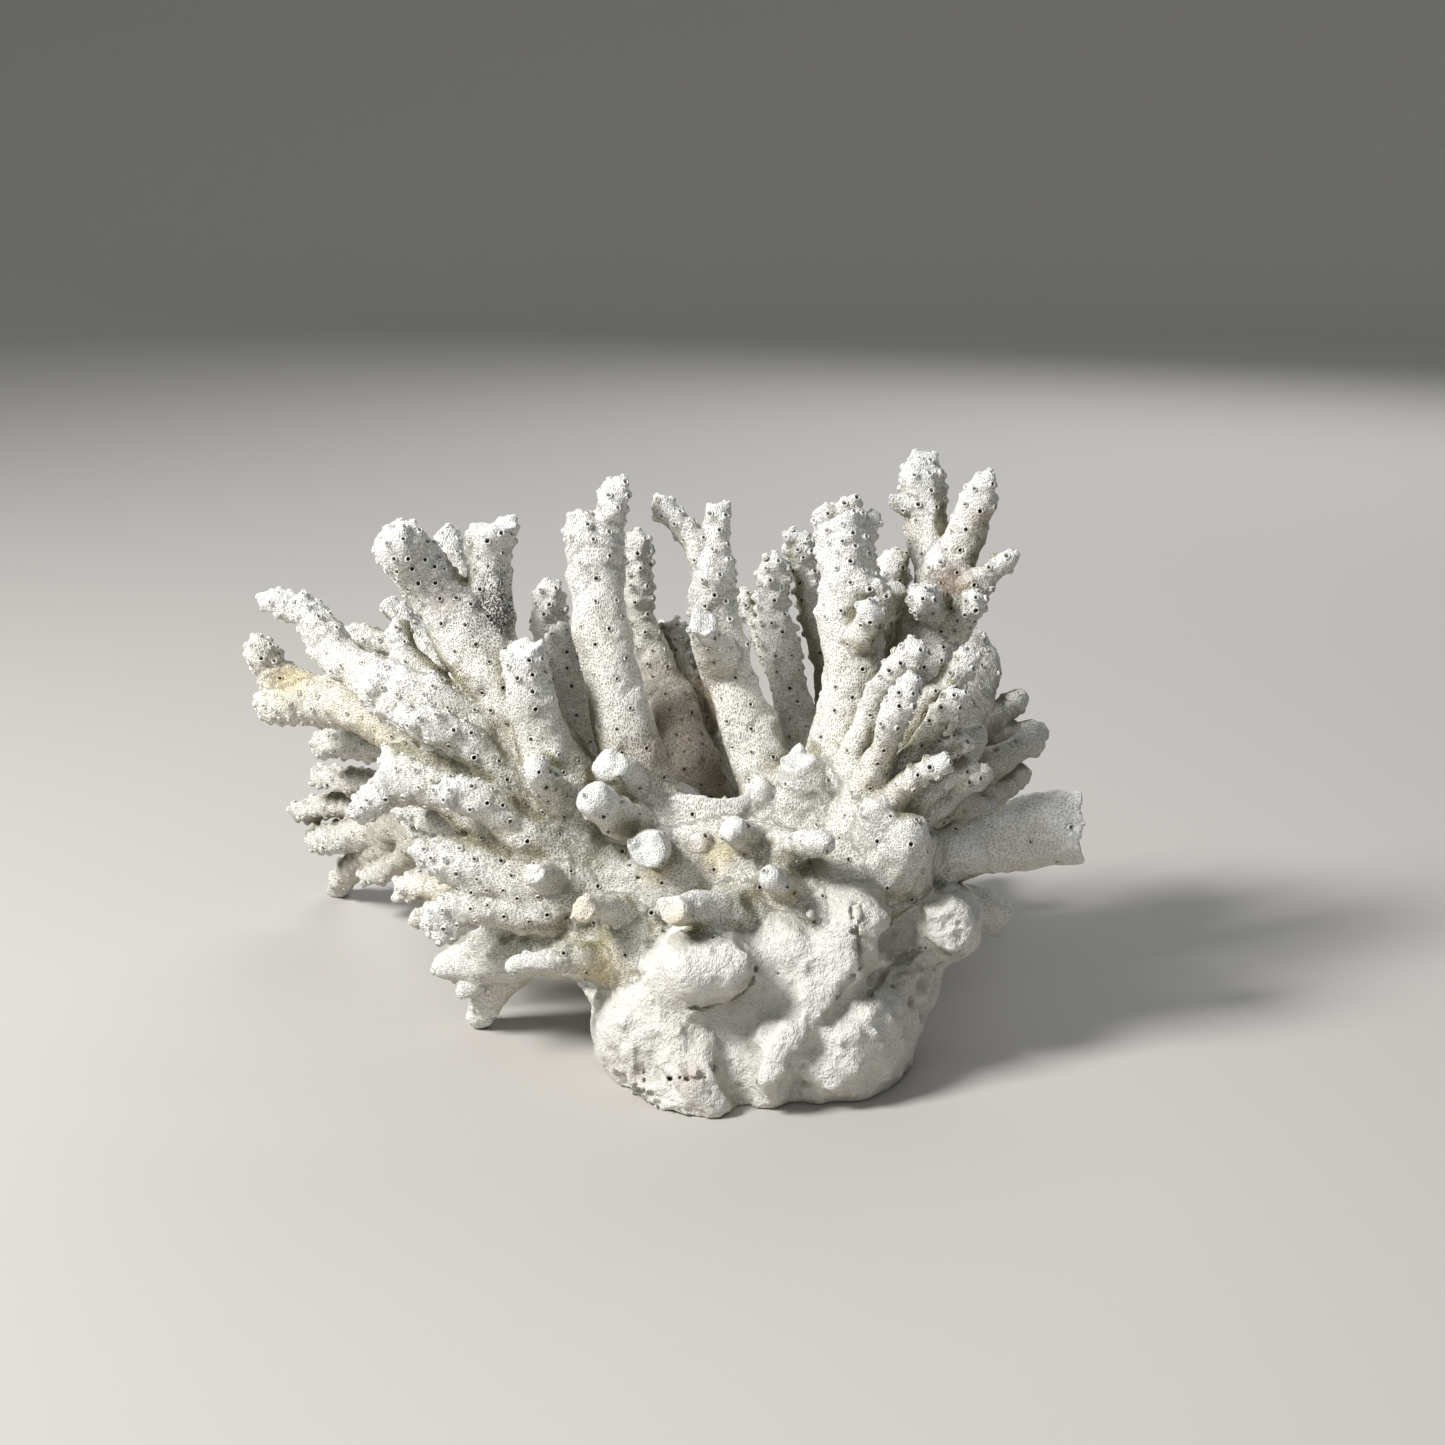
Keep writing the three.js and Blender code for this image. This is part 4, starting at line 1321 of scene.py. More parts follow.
@dataclass
class Look:
    """What the surface is like at points, one row or value for each.

    Attributes:
        outward: Direction of the surface.
        growth: Direction in which the branch grew.
        tip: How near the branch's tip is, from 0 to 1.
        broken: Share of breakage.
        cavity: How deep in a recess the point is, which sets the painted recess shade.
        under: How far it faces down, which sets the painted underside shade.
        pore: How open the pores are.
        limb: Number of the limb.
    """

    outward: np.ndarray
    growth: np.ndarray
    tip: np.ndarray
    broken: np.ndarray
    cavity: np.ndarray
    under: np.ndarray
    pore: np.ndarray
    limb: np.ndarray

    @classmethod
    def at(cls, stone: Stone, points: np.ndarray) -> "Look":
        """Reads the stone at points.

        Args:
            stone: The stone.
            points: Points on its surface, in millimetres.

        Returns:
            The look of the surface there.
        """
        outward = stone.slope(points)
        number = stone.closest(stone.stretch, points)
        start, along, length, arc, whole, last, is_broken = (
            np.array([getattr(row, name) for row in stone.stretches])[number]
            for name in ("start", "along", "length", "arc", "whole", "tip", "broken")
        )
        reach = np.clip(np.einsum("ij,ij->i", points - start, along), 0, length)
        left = whole - arc - reach
        young = np.clip(YOUNG_SHARE * whole, *YOUNG_LENGTHS)
        tip = np.clip(1.15 - left / young, 0, 1) * (number > 0)
        ahead = np.einsum("ij,ij->i", points - last, along)
        broken = is_broken * np.clip(1.8 - np.abs(ahead), 0, 1) * (left < 2.0)
        broken *= np.clip(np.einsum("ij,ij->i", outward, along) * 2 - 0.5, 0, 1)
        # cavity and under are the masks of painted shade, in recesses and on undersides
        near, far = (stone.sample(stone.surface, points + outward * off) / off for off in RECESS_READS)
        cavity = np.clip(1 - 0.5 * (near + far), 0, 1)
        under = np.clip(-outward[:, 2] * 1.2, 0, 1)
        limb = stone.closest(stone.owner, points)
        pore = np.where(limb == 0, HOLDFAST_PORES, 1.0) * (1 - 0.25 * broken) * (1 - 0.2 * tip)
        return cls(outward, along, tip, broken, cavity, under, pore, limb)


@dataclass(frozen=True)
class Finish:
    """The finish of one slot: its tone, its painted recess shade, its tan for painted underside shade and
    for drifts, its grain, and how strong its tan drifts and painted recess shade are.
    """

    slot: Slot
    tone: Triple
    recess: Triple
    underside: Triple
    grime_and_shade: float
    grain: float = 0.8
    roughness: float = 0.9


# Each finish: slot, tone, painted recess shade, tan of painted underside shade and of drifts, and how strong
# drifts and recess shade are
FINISHES = (
    # Bone, cream and dusty are darker and yellower than chalk, and go to the limbs at the back and low down
    Finish(Slot.CHALK, (0.84, 0.825, 0.775), (0.36, 0.345, 0.24), (0.66, 0.58, 0.40), 0.34),
    Finish(Slot.BONE, (0.76, 0.745, 0.68), (0.33, 0.32, 0.22), (0.60, 0.53, 0.37), 0.55),
    Finish(Slot.CREAM, (0.76, 0.725, 0.60), (0.36, 0.32, 0.19), (0.58, 0.50, 0.32), 0.6),
    Finish(Slot.DUSTY, (0.66, 0.635, 0.55), (0.27, 0.25, 0.17), (0.48, 0.42, 0.29), 0.75),
)


class Graph:
    """A node tree under construction, with short calls for its nodes."""

    def __init__(self, tree: bpy.types.NodeTree) -> None:
        """Starts on an empty tree."""
        self.tree = tree
        self.count = 0

    def node(self, kind: str, inputs: dict | None = None, **settings: object) -> bpy.types.Node:
        """Adds a node.

        Args:
            kind: Blender's name of the node type.
            inputs: Values or sockets for its inputs, by name or number.
            settings: Properties of the node.

        Returns:
            The node.
        """
        node = self.tree.nodes.new(kind)
        node.location = (220 * (self.count // 6), -180 * (self.count % 6))
        self.count += 1
        for name, value in settings.items():
            setattr(node, name, value)
        for name, value in (inputs or {}).items():
            self.feed(node.inputs[name], value)
        return node

    def feed(self, socket: bpy.types.NodeSocket, value: object) -> None:
        """Links a socket or sets its value.

        Args:
            socket: The socket.
            value: Another socket, or a plain value.
        """
        if isinstance(value, bpy.types.NodeSocket):
            self.tree.links.new(value, socket)
        else:
            socket.default_value = value

    def math(self, operation: str, *values: object, clamp: bool = False) -> bpy.types.NodeSocket:
        """Adds a math node.

        Args:
            operation: What it does.
            values: Its sockets or values.
            clamp: Whether its result stays between 0 and 1.

        Returns:
            Its result.
        """
        inputs = dict(enumerate(values))
        return self.node("ShaderNodeMath", inputs, operation=operation, use_clamp=clamp).outputs[0]

    def times(self, first: object, second: object, clamp: bool = False) -> bpy.types.NodeSocket:
        """The product of two values."""
        return self.math("MULTIPLY", first, second, clamp=clamp)

    def ramp(self, value: object, slope: object, level: object, clamp: bool = False) -> bpy.types.NodeSocket:
        """A value times a slope, plus a level."""
        return self.math("MULTIPLY_ADD", value, slope, level, clamp=clamp)

    def vector(self, operation: str, inputs: dict, output: int | str = 0) -> bpy.types.NodeSocket:
        """A vector math node's result."""
        return self.node("ShaderNodeVectorMath", inputs, operation=operation).outputs[output]

    def attribute(self, name: str, output: str = "Fac") -> bpy.types.NodeSocket:
        """One of the mesh's own attributes."""
        return self.node("ShaderNodeAttribute", attribute_name=name).outputs[output]

    def noise(self, place: object, scale: float, detail: float, rough: float = 0.5) -> bpy.types.NodeSocket:
        """A noise texture's value, with its scale in lumps a metre."""
        inputs = {"Vector": place, "Scale": scale, "Detail": detail, "Roughness": rough}
        return self.node("ShaderNodeTexNoise", inputs).outputs["Fac"]

    def mix(self, share: object, first: object, second: object) -> bpy.types.NodeSocket:
        """Mixes two colours.

        Args:
            share: How much of the second there is.
            first: A socket or three values.
            second: The same.

        Returns:
            The mixed colour.
        """
        node = self.node("ShaderNodeMix", data_type="RGBA")
        self.feed(node.inputs[0], share)
        for socket, value in ((node.inputs[6], first), (node.inputs[7], second)):
            self.feed(socket, (*value, 1.0) if isinstance(value, tuple) else value)
        return node.outputs[2]


def new_group(name: str, kind: str, inputs: dict[str, str], outputs: dict[str, str]) -> tuple:
    """Starts a node group.

    Args:
        name: Its name.
        kind: Blender's name of the tree type.
        inputs: Socket type of each named input.
        outputs: Socket type of each named output.

    Returns:
        The graph, its input node and its output node.
    """
    tree = bpy.data.node_groups.new(name, kind)
    for label, socket in inputs.items():
        tree.interface.new_socket(label, in_out="INPUT", socket_type=socket)
    for label, socket in outputs.items():
        tree.interface.new_socket(label, in_out="OUTPUT", socket_type=socket)
    graph = Graph(tree)
    return graph, graph.node("NodeGroupInput"), graph.node("NodeGroupOutput")


def pore_group() -> bpy.types.NodeTree:
    """Shader group of the skeleton's pores and grains.

    Returns:
        A group that puts out Height, and Pores as a mask.
    """
    graph, given, result = new_group(
        "skeleton pores",
        "ShaderNodeTree",
        {"Spacing": "NodeSocketFloat", "Stretch": "NodeSocketFloat"},
        {"Height": "NodeSocketFloat", "Pores": "NodeSocketFloat"},
    )
    place = graph.node("ShaderNodeTexCoord").outputs["Object"]
    growth = graph.attribute("growth", "Vector")
    open_share = graph.attribute("pore")
    # Cells are longer along the branch, because places along it are drawn together
    along = graph.vector("DOT_PRODUCT", {0: place, 1: growth}, "Value")
    shift = graph.vector("SCALE", {0: growth, "Scale": graph.times(along, given.outputs["Stretch"])})
    grown = graph.vector("SUBTRACT", {0: place, 1: shift})
    scale = graph.math("DIVIDE", 1.0, given.outputs["Spacing"])
    cells = graph.node(
        "ShaderNodeTexVoronoi",
        {"Vector": grown, "Scale": scale, "Randomness": 0.8},
        feature="DISTANCE_TO_EDGE",
    )
    pores = graph.node(
        "ShaderNodeMapRange",
        {"Value": cells.outputs["Distance"], "From Min": 0.09, "From Max": 0.3},
        interpolation_type="SMOOTHSTEP",
    ).outputs["Result"]
    pores = graph.times(pores, open_share)
    # Grains lie everywhere, and crumbs most where there are few pores
    height = graph.ramp(graph.noise(place, GRAIN_SCALE, 2.0, 0.6), 0.5, graph.times(pores, -0.9))
    crumbs = graph.noise(place, CRUMB_SCALE, 3.0, 0.62)
    height = graph.ramp(crumbs, graph.ramp(open_share, -3.0, 4.4), height)
    graph.feed(result.inputs["Height"], height)
    graph.feed(result.inputs["Pores"], pores)
    return graph.tree


def stain_and_shade_share(graph: Graph, place: object, stain: bpy.types.Node, pores: object) -> bpy.types.NodeSocket:
    """How much of a mark shows, of staining and of painted shade alike: dark ones such as dust as flecks and
    in pores, pale ones such as dirt evenly.

    Args:
        graph: The tree.
        place: The place on the object.
        stain: The node that reads the colour and strength of the marks, of staining and of painted shade.
        pores: Mask of the pores.

    Returns:
        The share.
    """
    strength = stain.outputs["Alpha"]
    speck = graph.noise(place, SPECK_SCALE, 2.0, 0.7)
    flecks = graph.ramp(speck, 9.0, graph.ramp(strength, 3.0, -6.1), clamp=True)
    filled = graph.times(pores, graph.times(strength, 1.2))
    flecks = graph.math("MAXIMUM", flecks, filled, clamp=True)
    flecks = graph.times(flecks, graph.times(strength, 4.0, clamp=True))
    shade = graph.node("ShaderNodeSeparateColor", {0: stain.outputs["Color"]}).outputs[0]
    even = graph.times(shade, 4.5, clamp=True)
    smooth = graph.times(strength, even, clamp=True)
    uneven = graph.times(flecks, graph.math("SUBTRACT", 1.0, graph.times(even, 0.6)))
    return graph.math("MAXIMUM", smooth, uneven)


def weather_and_shade_group() -> bpy.types.NodeTree:
    """Shader group of the bleached colour with its tan drifts, the painted shade in its recesses, on its
    undersides, in its pores and in its cups, and its marks of staining and painted shade.

    Returns:
        A group that puts out Color.
    """
    colours = ("Tone", "Recess", "Underside")
    values = ("Grime", "Pores")
    graph, given, result = new_group(
        "bleach and grime",
        "ShaderNodeTree",
        {**dict.fromkeys(colours, "NodeSocketColor"), **dict.fromkeys(values, "NodeSocketFloat")},
        {"Color": "NodeSocketColor"},
    )
    tone, recess, underside, grime_and_shade, pores = (given.outputs[name] for name in colours + values)
    place = graph.node("ShaderNodeTexCoord").outputs["Object"]
    tint = graph.node("ShaderNodeAttribute", attribute_name="tint")
    stain = graph.node("ShaderNodeAttribute", attribute_name="stain")
    parts = graph.node("ShaderNodeSeparateColor", {0: tint.outputs["Color"]})
    cavity, under, tip = (parts.outputs[k] for k in range(3))

    # Painted shade: undersides and recesses are darker, in uneven clouds
    uneven = graph.ramp(graph.noise(place, CLOUD_SCALE, 3.0, 0.6), 1.6, -0.3)
    colour = graph.mix(graph.times(under, uneven, clamp=True), tone, underside)
    deep = graph.times(graph.math("POWER", cavity, 1.4), graph.math("ADD", uneven, 0.3))
    deep = graph.times(deep, graph.ramp(grime_and_shade, 1.0, 1.05), clamp=True)
    colour = graph.mix(deep, colour, recess)

    # Tan drifts over whole limbs, bare stone where there are few pores, pale tips and breaks
    tan = graph.ramp(graph.noise(place, DRIFT_SCALE, 2.0), 3.2, -1.75, clamp=True)
    colour = graph.mix(graph.times(tan, graph.ramp(grime_and_shade, 0.8, 0.1)), colour, underside)
    bare = graph.math("SUBTRACT", 1.0, graph.attribute("pore"))
    colour = graph.mix(graph.times(bare, 0.62), colour, BARE_STONE)
    pale = graph.times(graph.math("MAXIMUM", graph.times(tip, 0.7), tint.outputs["Alpha"]), 0.6)
    colour = graph.mix(graph.times(pale, graph.math("SUBTRACT", 1.0, deep)), colour, FRESH_STONE)

    # Painted shade in the pores, deeper in recesses, then the marks of staining and painted shade, and the
    # painted shade of the cups over all
    pore_painted_shade = graph.times(pores, graph.ramp(cavity, 0.4, 0.46), clamp=True)
    colour = graph.mix(pore_painted_shade, colour, PORE_PAINTED_SHADE)
    colour = graph.mix(stain_and_shade_share(graph, place, stain, pores), colour, stain.outputs["Color"])
    colour = graph.mix(graph.times(graph.attribute("pit"), 0.93), colour, CUP_PAINTED_SHADE)
    graph.feed(result.inputs["Color"], colour)
    return graph.tree


class Dresser:
    """Makes the material of each slot from the shared groups."""

    pore_spacing = 0.00044
    pore_stretch = 0.45
    bump_depth = 0.0003
    gloss = 0.25

    def __init__(self) -> None:
        """Builds the shared groups once."""
        self.pores = pore_group()
        self.weather_and_shade = weather_and_shade_group()
        self.materials = {finish.slot: self.material(finish) for finish in FINISHES}

    def material(self, finish: Finish) -> bpy.types.Material:
        """The material of one finish.

        Args:
            finish: Its values.

        Returns:
            The material.
        """
        material = bpy.data.materials.new(f"{finish.slot.value} skeleton")
        material.use_nodes = True
        material.node_tree.nodes.clear()
        graph = Graph(material.node_tree)
        sizes = {"Spacing": self.pore_spacing, "Stretch": self.pore_stretch}
        tones = {
            "Tone": (*finish.tone, 1.0),
            "Recess": (*finish.recess, 1.0),
            "Underside": (*finish.underside, 1.0),
            "Grime": finish.grime_and_shade,
        }
        pores = graph.node("ShaderNodeGroup", node_tree=self.pores)
        weather_and_shade = graph.node("ShaderNodeGroup", node_tree=self.weather_and_shade)
        for node, values in ((pores, sizes), (weather_and_shade, tones)):
            for name, value in values.items():
                graph.feed(node.inputs[name], value)
        graph.feed(weather_and_shade.inputs["Pores"], pores.outputs["Pores"])
        height = pores.outputs["Height"]
        bump = graph.node(
            "ShaderNodeBump", {"Strength": finish.grain, "Distance": self.bump_depth, "Height": height}
        )
        surface = graph.node(
            "ShaderNodeBsdfPrincipled",
            {
                "Base Color": weather_and_shade.outputs["Color"],
                "Normal": bump.outputs["Normal"],
                "Roughness": finish.roughness,
                "Specular IOR Level": self.gloss,
            },
        )
        output = graph.node("ShaderNodeOutputMaterial")
        graph.feed(output.inputs["Surface"], surface.outputs[0])
        return material


def raised(graph: Graph, mesh: object, height: object) -> bpy.types.NodeSocket:
    """A mesh moved up to a height."""
    lift = graph.node("ShaderNodeCombineXYZ", {"Z": height}).outputs[0]
    return graph.node("GeometryNodeTransform", {"Geometry": mesh, "Translation": lift}).outputs[0]


def cup_band(graph: Graph, sides: int, radii: tuple, heights: tuple) -> bpy.types.NodeSocket:
    """A band of the cup between two radii and two heights.

    Args:
        graph: The tree.
        sides: Corners round the cup.
        radii: The lower and the upper radius.
        heights: The lower and the upper height.

    Returns:
        The band.
    """
    low, high = heights
    sizes = {"Radius Bottom": radii[0], "Radius Top": radii[1], "Depth": graph.math("SUBTRACT", high, low)}
    cone = graph.node("GeometryNodeMeshCone", {"Vertices": sides, **sizes}, fill_type="NONE")
    return raised(graph, cone.outputs["Mesh"], low)


def joined(graph: Graph, *parts: object) -> bpy.types.NodeSocket:
    """Several meshes as one.

    Args:
        graph: The tree.
        parts: The meshes.

    Returns:
        The joined mesh.
    """
    join = graph.node("GeometryNodeJoinGeometry")
    for part in parts:
        graph.feed(join.inputs[0], part)
    return join.outputs[0]


def one_cup(graph: Graph, sides: int, sizes: dict[str, object]) -> bpy.types.NodeSocket:
    """A single cup at the origin, its rim up, with its pit marked.

    Args:
        graph: The tree.
        sides: Corners round the cup.
        sizes: Sockets of its radii and its depth, by name.

    Returns:
        The cup.
    """
    mouth, rim, skirt, depth = sizes.values()
    brim = -0.00012
    foot, brow, lip, floor = (graph.times(depth, share) for share in (-0.75, 0.03, -0.06, -1.0))
    crest = graph.ramp(graph.math("SUBTRACT", rim, mouth), 0.45, mouth)
    narrow = graph.times(mouth, 0.8)
    outer = cup_band(graph, sides, (skirt, rim), (foot, brim))
    shoulder = cup_band(graph, sides, (rim, crest), (brim, brow))
    bevel = cup_band(graph, sides, (mouth, crest), (lip, brow))
    wall = cup_band(graph, sides, (narrow, mouth), (floor, lip))
    circle = {"Vertices": sides, "Radius": narrow}
    disc = graph.node("GeometryNodeMeshCircle", circle, fill_type="TRIANGLE_FAN").outputs[0]
    disc = raised(graph, disc, floor)
    turned = graph.node("GeometryNodeFlipFaces", {0: joined(graph, bevel, wall)}).outputs[0]
    cup = joined(graph, outer, shoulder, turned, disc)
    whole = graph.node("GeometryNodeMergeByDistance", {"Geometry": cup, "Distance": 0.00002}).outputs[0]

    # The pit mark, the mask of the painted shade in the cup, is 1 deep inside the mouth and 0 at its lip and
    # outside
    place = graph.node("GeometryNodeInputPosition").outputs[0]
    height = graph.node("ShaderNodeSeparateXYZ", {0: place}).outputs[2]
    across = graph.vector("MULTIPLY", {0: place, 1: (1.0, 1.0, 0.0)})
    inside = graph.math("LESS_THAN", graph.vector("LENGTH", {0: across}, "Value"), graph.times(mouth, 1.02))
    reach = {"From Min": lip, "From Max": graph.times(depth, -0.3), "To Min": 0.0, "To Max": 1.0}
    sunk = graph.node("ShaderNodeMapRange", {"Value": height, **reach}).outputs["Result"]
    values = {"Geometry": whole, "Name": "pit", "Value": graph.times(sunk, inside)}
    store_node = graph.node("GeometryNodeStoreNamedAttribute", values, data_type="FLOAT", domain="POINT")
    return store_node.outputs[0]


def cup_tree(cups: Corallites) -> bpy.types.NodeTree:
    """Geometry Nodes tree that sets a cup on every mark and joins them to the skin.

    Args:
        cups: Sizes of the cups.

    Returns:
        The tree.
    """
    lengths = {
        "Mouth radius": cups.mouth,
        "Rim radius": cups.rim,
        "Skirt radius": cups.skirt,
        "Depth": cups.depth,
    }
    graph, given, result = new_group(
        "corallites",
        "GeometryNodeTree",
        {
            "Skin": "NodeSocketGeometry",
            "Marks": "NodeSocketObject",
            **dict.fromkeys(lengths, "NodeSocketFloat"),
            "Finish": "NodeSocketMaterial",
        },
        {"Geometry": "NodeSocketGeometry"},
    )
    for item in graph.tree.interface.items_tree:
        if item.name in lengths and item.in_out == "INPUT":
            item.default_value = lengths[item.name] * MM
    cup = one_cup(graph, cups.sides, {name: given.outputs[name] for name in lengths})
    marks = graph.node(
        "GeometryNodeObjectInfo", {"Object": given.outputs["Marks"]}, transform_space="ORIGINAL"
    ).outputs["Geometry"]
    axis, size = (
        graph.node("GeometryNodeInputNamedAttribute", {"Name": name}, data_type=kind).outputs[0]
        for name, kind in (("axis", "FLOAT_VECTOR"), ("size", "FLOAT"))
    )
    upright = graph.node("FunctionNodeAlignRotationToVector", {"Vector": axis}, axis="Z").outputs[0]
    turns = {"Max": (0.0, 0.0, math.tau), "Seed": SEED}
    spin = graph.node("FunctionNodeRandomValue", turns, data_type="FLOAT_VECTOR").outputs[0]
    turn = graph.node(
        "FunctionNodeRotateRotation", {"Rotation": upright, "Rotate By": spin}, rotation_space="LOCAL"
    ).outputs[0]
    placing = {"Points": marks, "Instance": cup, "Rotation": turn, "Scale": size}
    placed = graph.node("GeometryNodeInstanceOnPoints", placing).outputs[0]
    real = graph.node("GeometryNodeRealizeInstances", {"Geometry": placed}).outputs[0]
    smooth = graph.node("GeometryNodeSetShadeSmooth", {"Geometry": real, "Shade Smooth": True}).outputs[0]
    both = joined(graph, smooth, given.outputs["Skin"])
    done = graph.node("GeometryNodeSetMaterial", {"Geometry": both, "Material": given.outputs["Finish"]})
    graph.feed(result.inputs[0], done.outputs[0])
    return graph.tree


def to_metres(points: np.ndarray) -> np.ndarray:
    """Points of the coral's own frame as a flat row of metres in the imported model's frame."""
    return ((points + FRAME_SHIFT) * MM).astype(np.float32).ravel()


def store(mesh: bpy.types.Mesh, name: str, kind: str, values: np.ndarray) -> None:
    """Writes an attribute on a mesh's points.

    Args:
        mesh: The mesh.
        name: The attribute's name.
        kind: Blender's name of its type.
        values: A row or value for each point.
    """
    key = {"FLOAT": "value", "FLOAT_VECTOR": "vector", "FLOAT_COLOR": "color"}[kind]
    attribute = mesh.attributes.new(name, kind, "POINT")
    attribute.data.foreach_set(key, values.astype(np.float32).ravel())


def settle(piece: bpy.types.Object, modifier: bpy.types.Modifier) -> None:
    """Turns a piece and its modifier into plain mesh.

    Args:
        piece: The piece.
        modifier: Its only modifier.
    """
    graph = bpy.context.evaluated_depsgraph_get()
    plain = bpy.data.meshes.new_from_object(
        piece.evaluated_get(graph), preserve_all_data_layers=True, depsgraph=graph
    )
    piece.modifiers.remove(modifier)
    live = piece.data
    piece.data = plain
    bpy.data.meshes.remove(live)
    plain.name = piece.name


class Coral:
    """The whole coral: grows the stone and makes each limb's piece from it.

    Lengths are millimetres.
    """

    margin = 4.0
    below_table = 1.5
    voxel = 0.5
    quick_voxel = 0.8
    lump_flow = 0.45
    stain_and_shade_edge = 1.3
    kept_faces = 0.46

    def __init__(self) -> None:
        """Grows the stone and opens its cups."""
        corners = np.array([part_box(node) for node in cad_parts]) / MM - FRAME_SHIFT
        low, high = corners[:, 0].min(axis=0), corners[:, 1].max(axis=0)
        low = low - self.margin
        low[2] = -self.below_table
        self.camera = Camera()
        self.stone = Stone(low, high + self.margin, self.voxel)
        self.stone.grow_holdfast(0, LUMPS, self.lump_flow)
        for number, limb in enumerate(LIMBS, start=1):
            self.stone.grow_limb(number, limb)
        for relief in RELIEFS:
            self.stone.model(self.camera, relief)
        for notch in NOTCHES:
            start, end = np.array(notch.start, float), np.array(notch.end, float)
            self.stone.carve(start, end, notch.radius, self.stone.growth.notch_flow)
        self.stone.roughen(ROUGH_PATCHES)
        for crack in CRACKS:
            self.stone.crack(self.camera, crack)
        self.stone.cut_at_table()
        LOG.info("stone grown on a grid of %s", self.stone.shape)
        # Where each mark lies, of staining and of painted shade
        self.stain_and_shade_spots = [(self.stone.sight(self.camera, mark.pixel), mark) for mark in MARKS]
        corallites = Corallites()
        self.cups = corallites.scatter(self.stone, LIMBS)
        corallites.carve(self.stone, self.cups)
        LOG.info("%d corallites", len(self.cups["place"]))
        self.tree = cup_tree(corallites)
        self.dresser = Dresser()

    def stain_and_shade_at(self, points: np.ndarray) -> np.ndarray:
        """Colour and strength of the marks at points, of staining and of painted shade alike.

        Args:
            points: Points in millimetres.

        Returns:
            Rows of red, green, blue and strength.
        """
        result = np.zeros((len(points), 4))
        for place, mark in self.stain_and_shade_spots:
            if place is None:
                continue
            away = np.linalg.norm(points - place, axis=1)
            share = np.clip(self.stain_and_shade_edge - away / mark.radius, 0, 1) * mark.strength * mark.kind.value[3]
            stronger = share > result[:, 3]
            result[stronger, :3] = mark.kind.value[:3]
            result[stronger, 3] = share[stronger]
        return result

    def attributes(self, mesh: bpy.types.Mesh) -> None:
        """Writes on a mesh what its materials read.

        Args:
            mesh: The mesh, in metres.
        """
        places = np.empty(len(mesh.vertices) * 3, np.float32)
        mesh.vertices.foreach_get("co", places)
        points = places.reshape(-1, 3).astype(float) / MM - FRAME_SHIFT
        look = Look.at(self.stone, points)
        # tint holds the masks of painted recess and underside shade, then the tip and the break
        tint = np.stack((look.cavity, look.under, look.tip, look.broken), axis=1)
        store(mesh, "tint", "FLOAT_COLOR", tint)
        # The marks, of staining and of painted shade
        store(mesh, "stain", "FLOAT_COLOR", self.stain_and_shade_at(points))
        store(mesh, "growth", "FLOAT_VECTOR", look.growth)
        store(mesh, "pore", "FLOAT", look.pore)

    def mesh_of(self, name: str, points: np.ndarray, faces: np.ndarray) -> bpy.types.Mesh:
        """Makes a smooth mesh.

        Args:
            name: Its name.
            points: Its points in millimetres.
            faces: Its four-sided faces.

        Returns:
            The mesh, in metres.
        """
        mesh = bpy.data.meshes.new(name)
        mesh.vertices.add(len(points))
        mesh.vertices.foreach_set("co", to_metres(points))
        mesh.loops.add(faces.size)
        mesh.loops.foreach_set("vertex_index", faces.astype(np.int32).ravel())
        mesh.polygons.add(len(faces))
        mesh.polygons.foreach_set("loop_start", np.arange(0, faces.size, 4, dtype=np.int32))
        mesh.polygons.foreach_set("use_smooth", np.ones(len(faces), dtype=bool))
        mesh.update(calc_edges=True)
        mesh.validate()
        return mesh

    def marks_of(self, number: int) -> bpy.types.Object:
        """The marks of one piece's cups, as loose points with what a cup needs.

        Args:
            number: Number of the piece.

        Returns:
            The marks.
        """
        chosen = self.cups["limb"] == number
        axis, size = self.cups["axis"][chosen], self.cups["size"][chosen]
        points = self.cups["place"][chosen] + axis * self.cups["height"][chosen][:, None]
        mesh = bpy.data.meshes.new("marks")
        mesh.vertices.add(len(points))
        mesh.vertices.foreach_set("co", to_metres(points))
        self.attributes(mesh)
        store(mesh, "axis", "FLOAT_VECTOR", axis)
        store(mesh, "size", "FLOAT", size)
        marks = bpy.data.objects.new("marks", mesh)
        bpy.context.scene.collection.objects.link(marks)
        return marks

    def piece(self, number: int, name: str, slot: Slot) -> bpy.types.Object:
        """Makes one finished piece and puts it in place of its node.

        Args:
            number: Number of the piece.
            name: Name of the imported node.
            slot: Slot of its finish.

        Returns:
            The piece.
        """
        points, faces = self.stone.piece(number)
        piece = bpy.data.objects.new(f"{name}_stone", self.mesh_of(f"{name}_stone", points, faces))
        bpy.context.scene.collection.objects.link(piece)
        thin = piece.modifiers.new("thin", "DECIMATE")
        thin.ratio = self.kept_faces
        settle(piece, thin)
        self.attributes(piece.data)
        material = self.dresser.materials[slot]
        piece.data.materials.append(material)
        if (self.cups["limb"] == number).any():
            self.set_cups(piece, number, material)
        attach(piece, "root")
        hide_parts(name)
        LOG.info("%s: %d faces", piece.name, len(piece.data.polygons))
        return piece

    def set_cups(self, piece: bpy.types.Object, number: int, material: bpy.types.Material) -> None:
        """Joins a piece's cups to its skin as plain mesh.

        Args:
            piece: The piece with its bare skin.
            number: Its number.
            material: Its finish.
        """
        marks = self.marks_of(number)
        modifier = piece.modifiers.new("corallites", "NODES")
        modifier.node_group = self.tree
        for item in self.tree.interface.items_tree:
            if item.in_out == "INPUT" and item.name == "Marks":
                modifier[item.identifier] = marks
            if item.in_out == "INPUT" and item.name == "Finish":
                modifier[item.identifier] = material
        settle(piece, modifier)
        bpy.data.meshes.remove(marks.data)

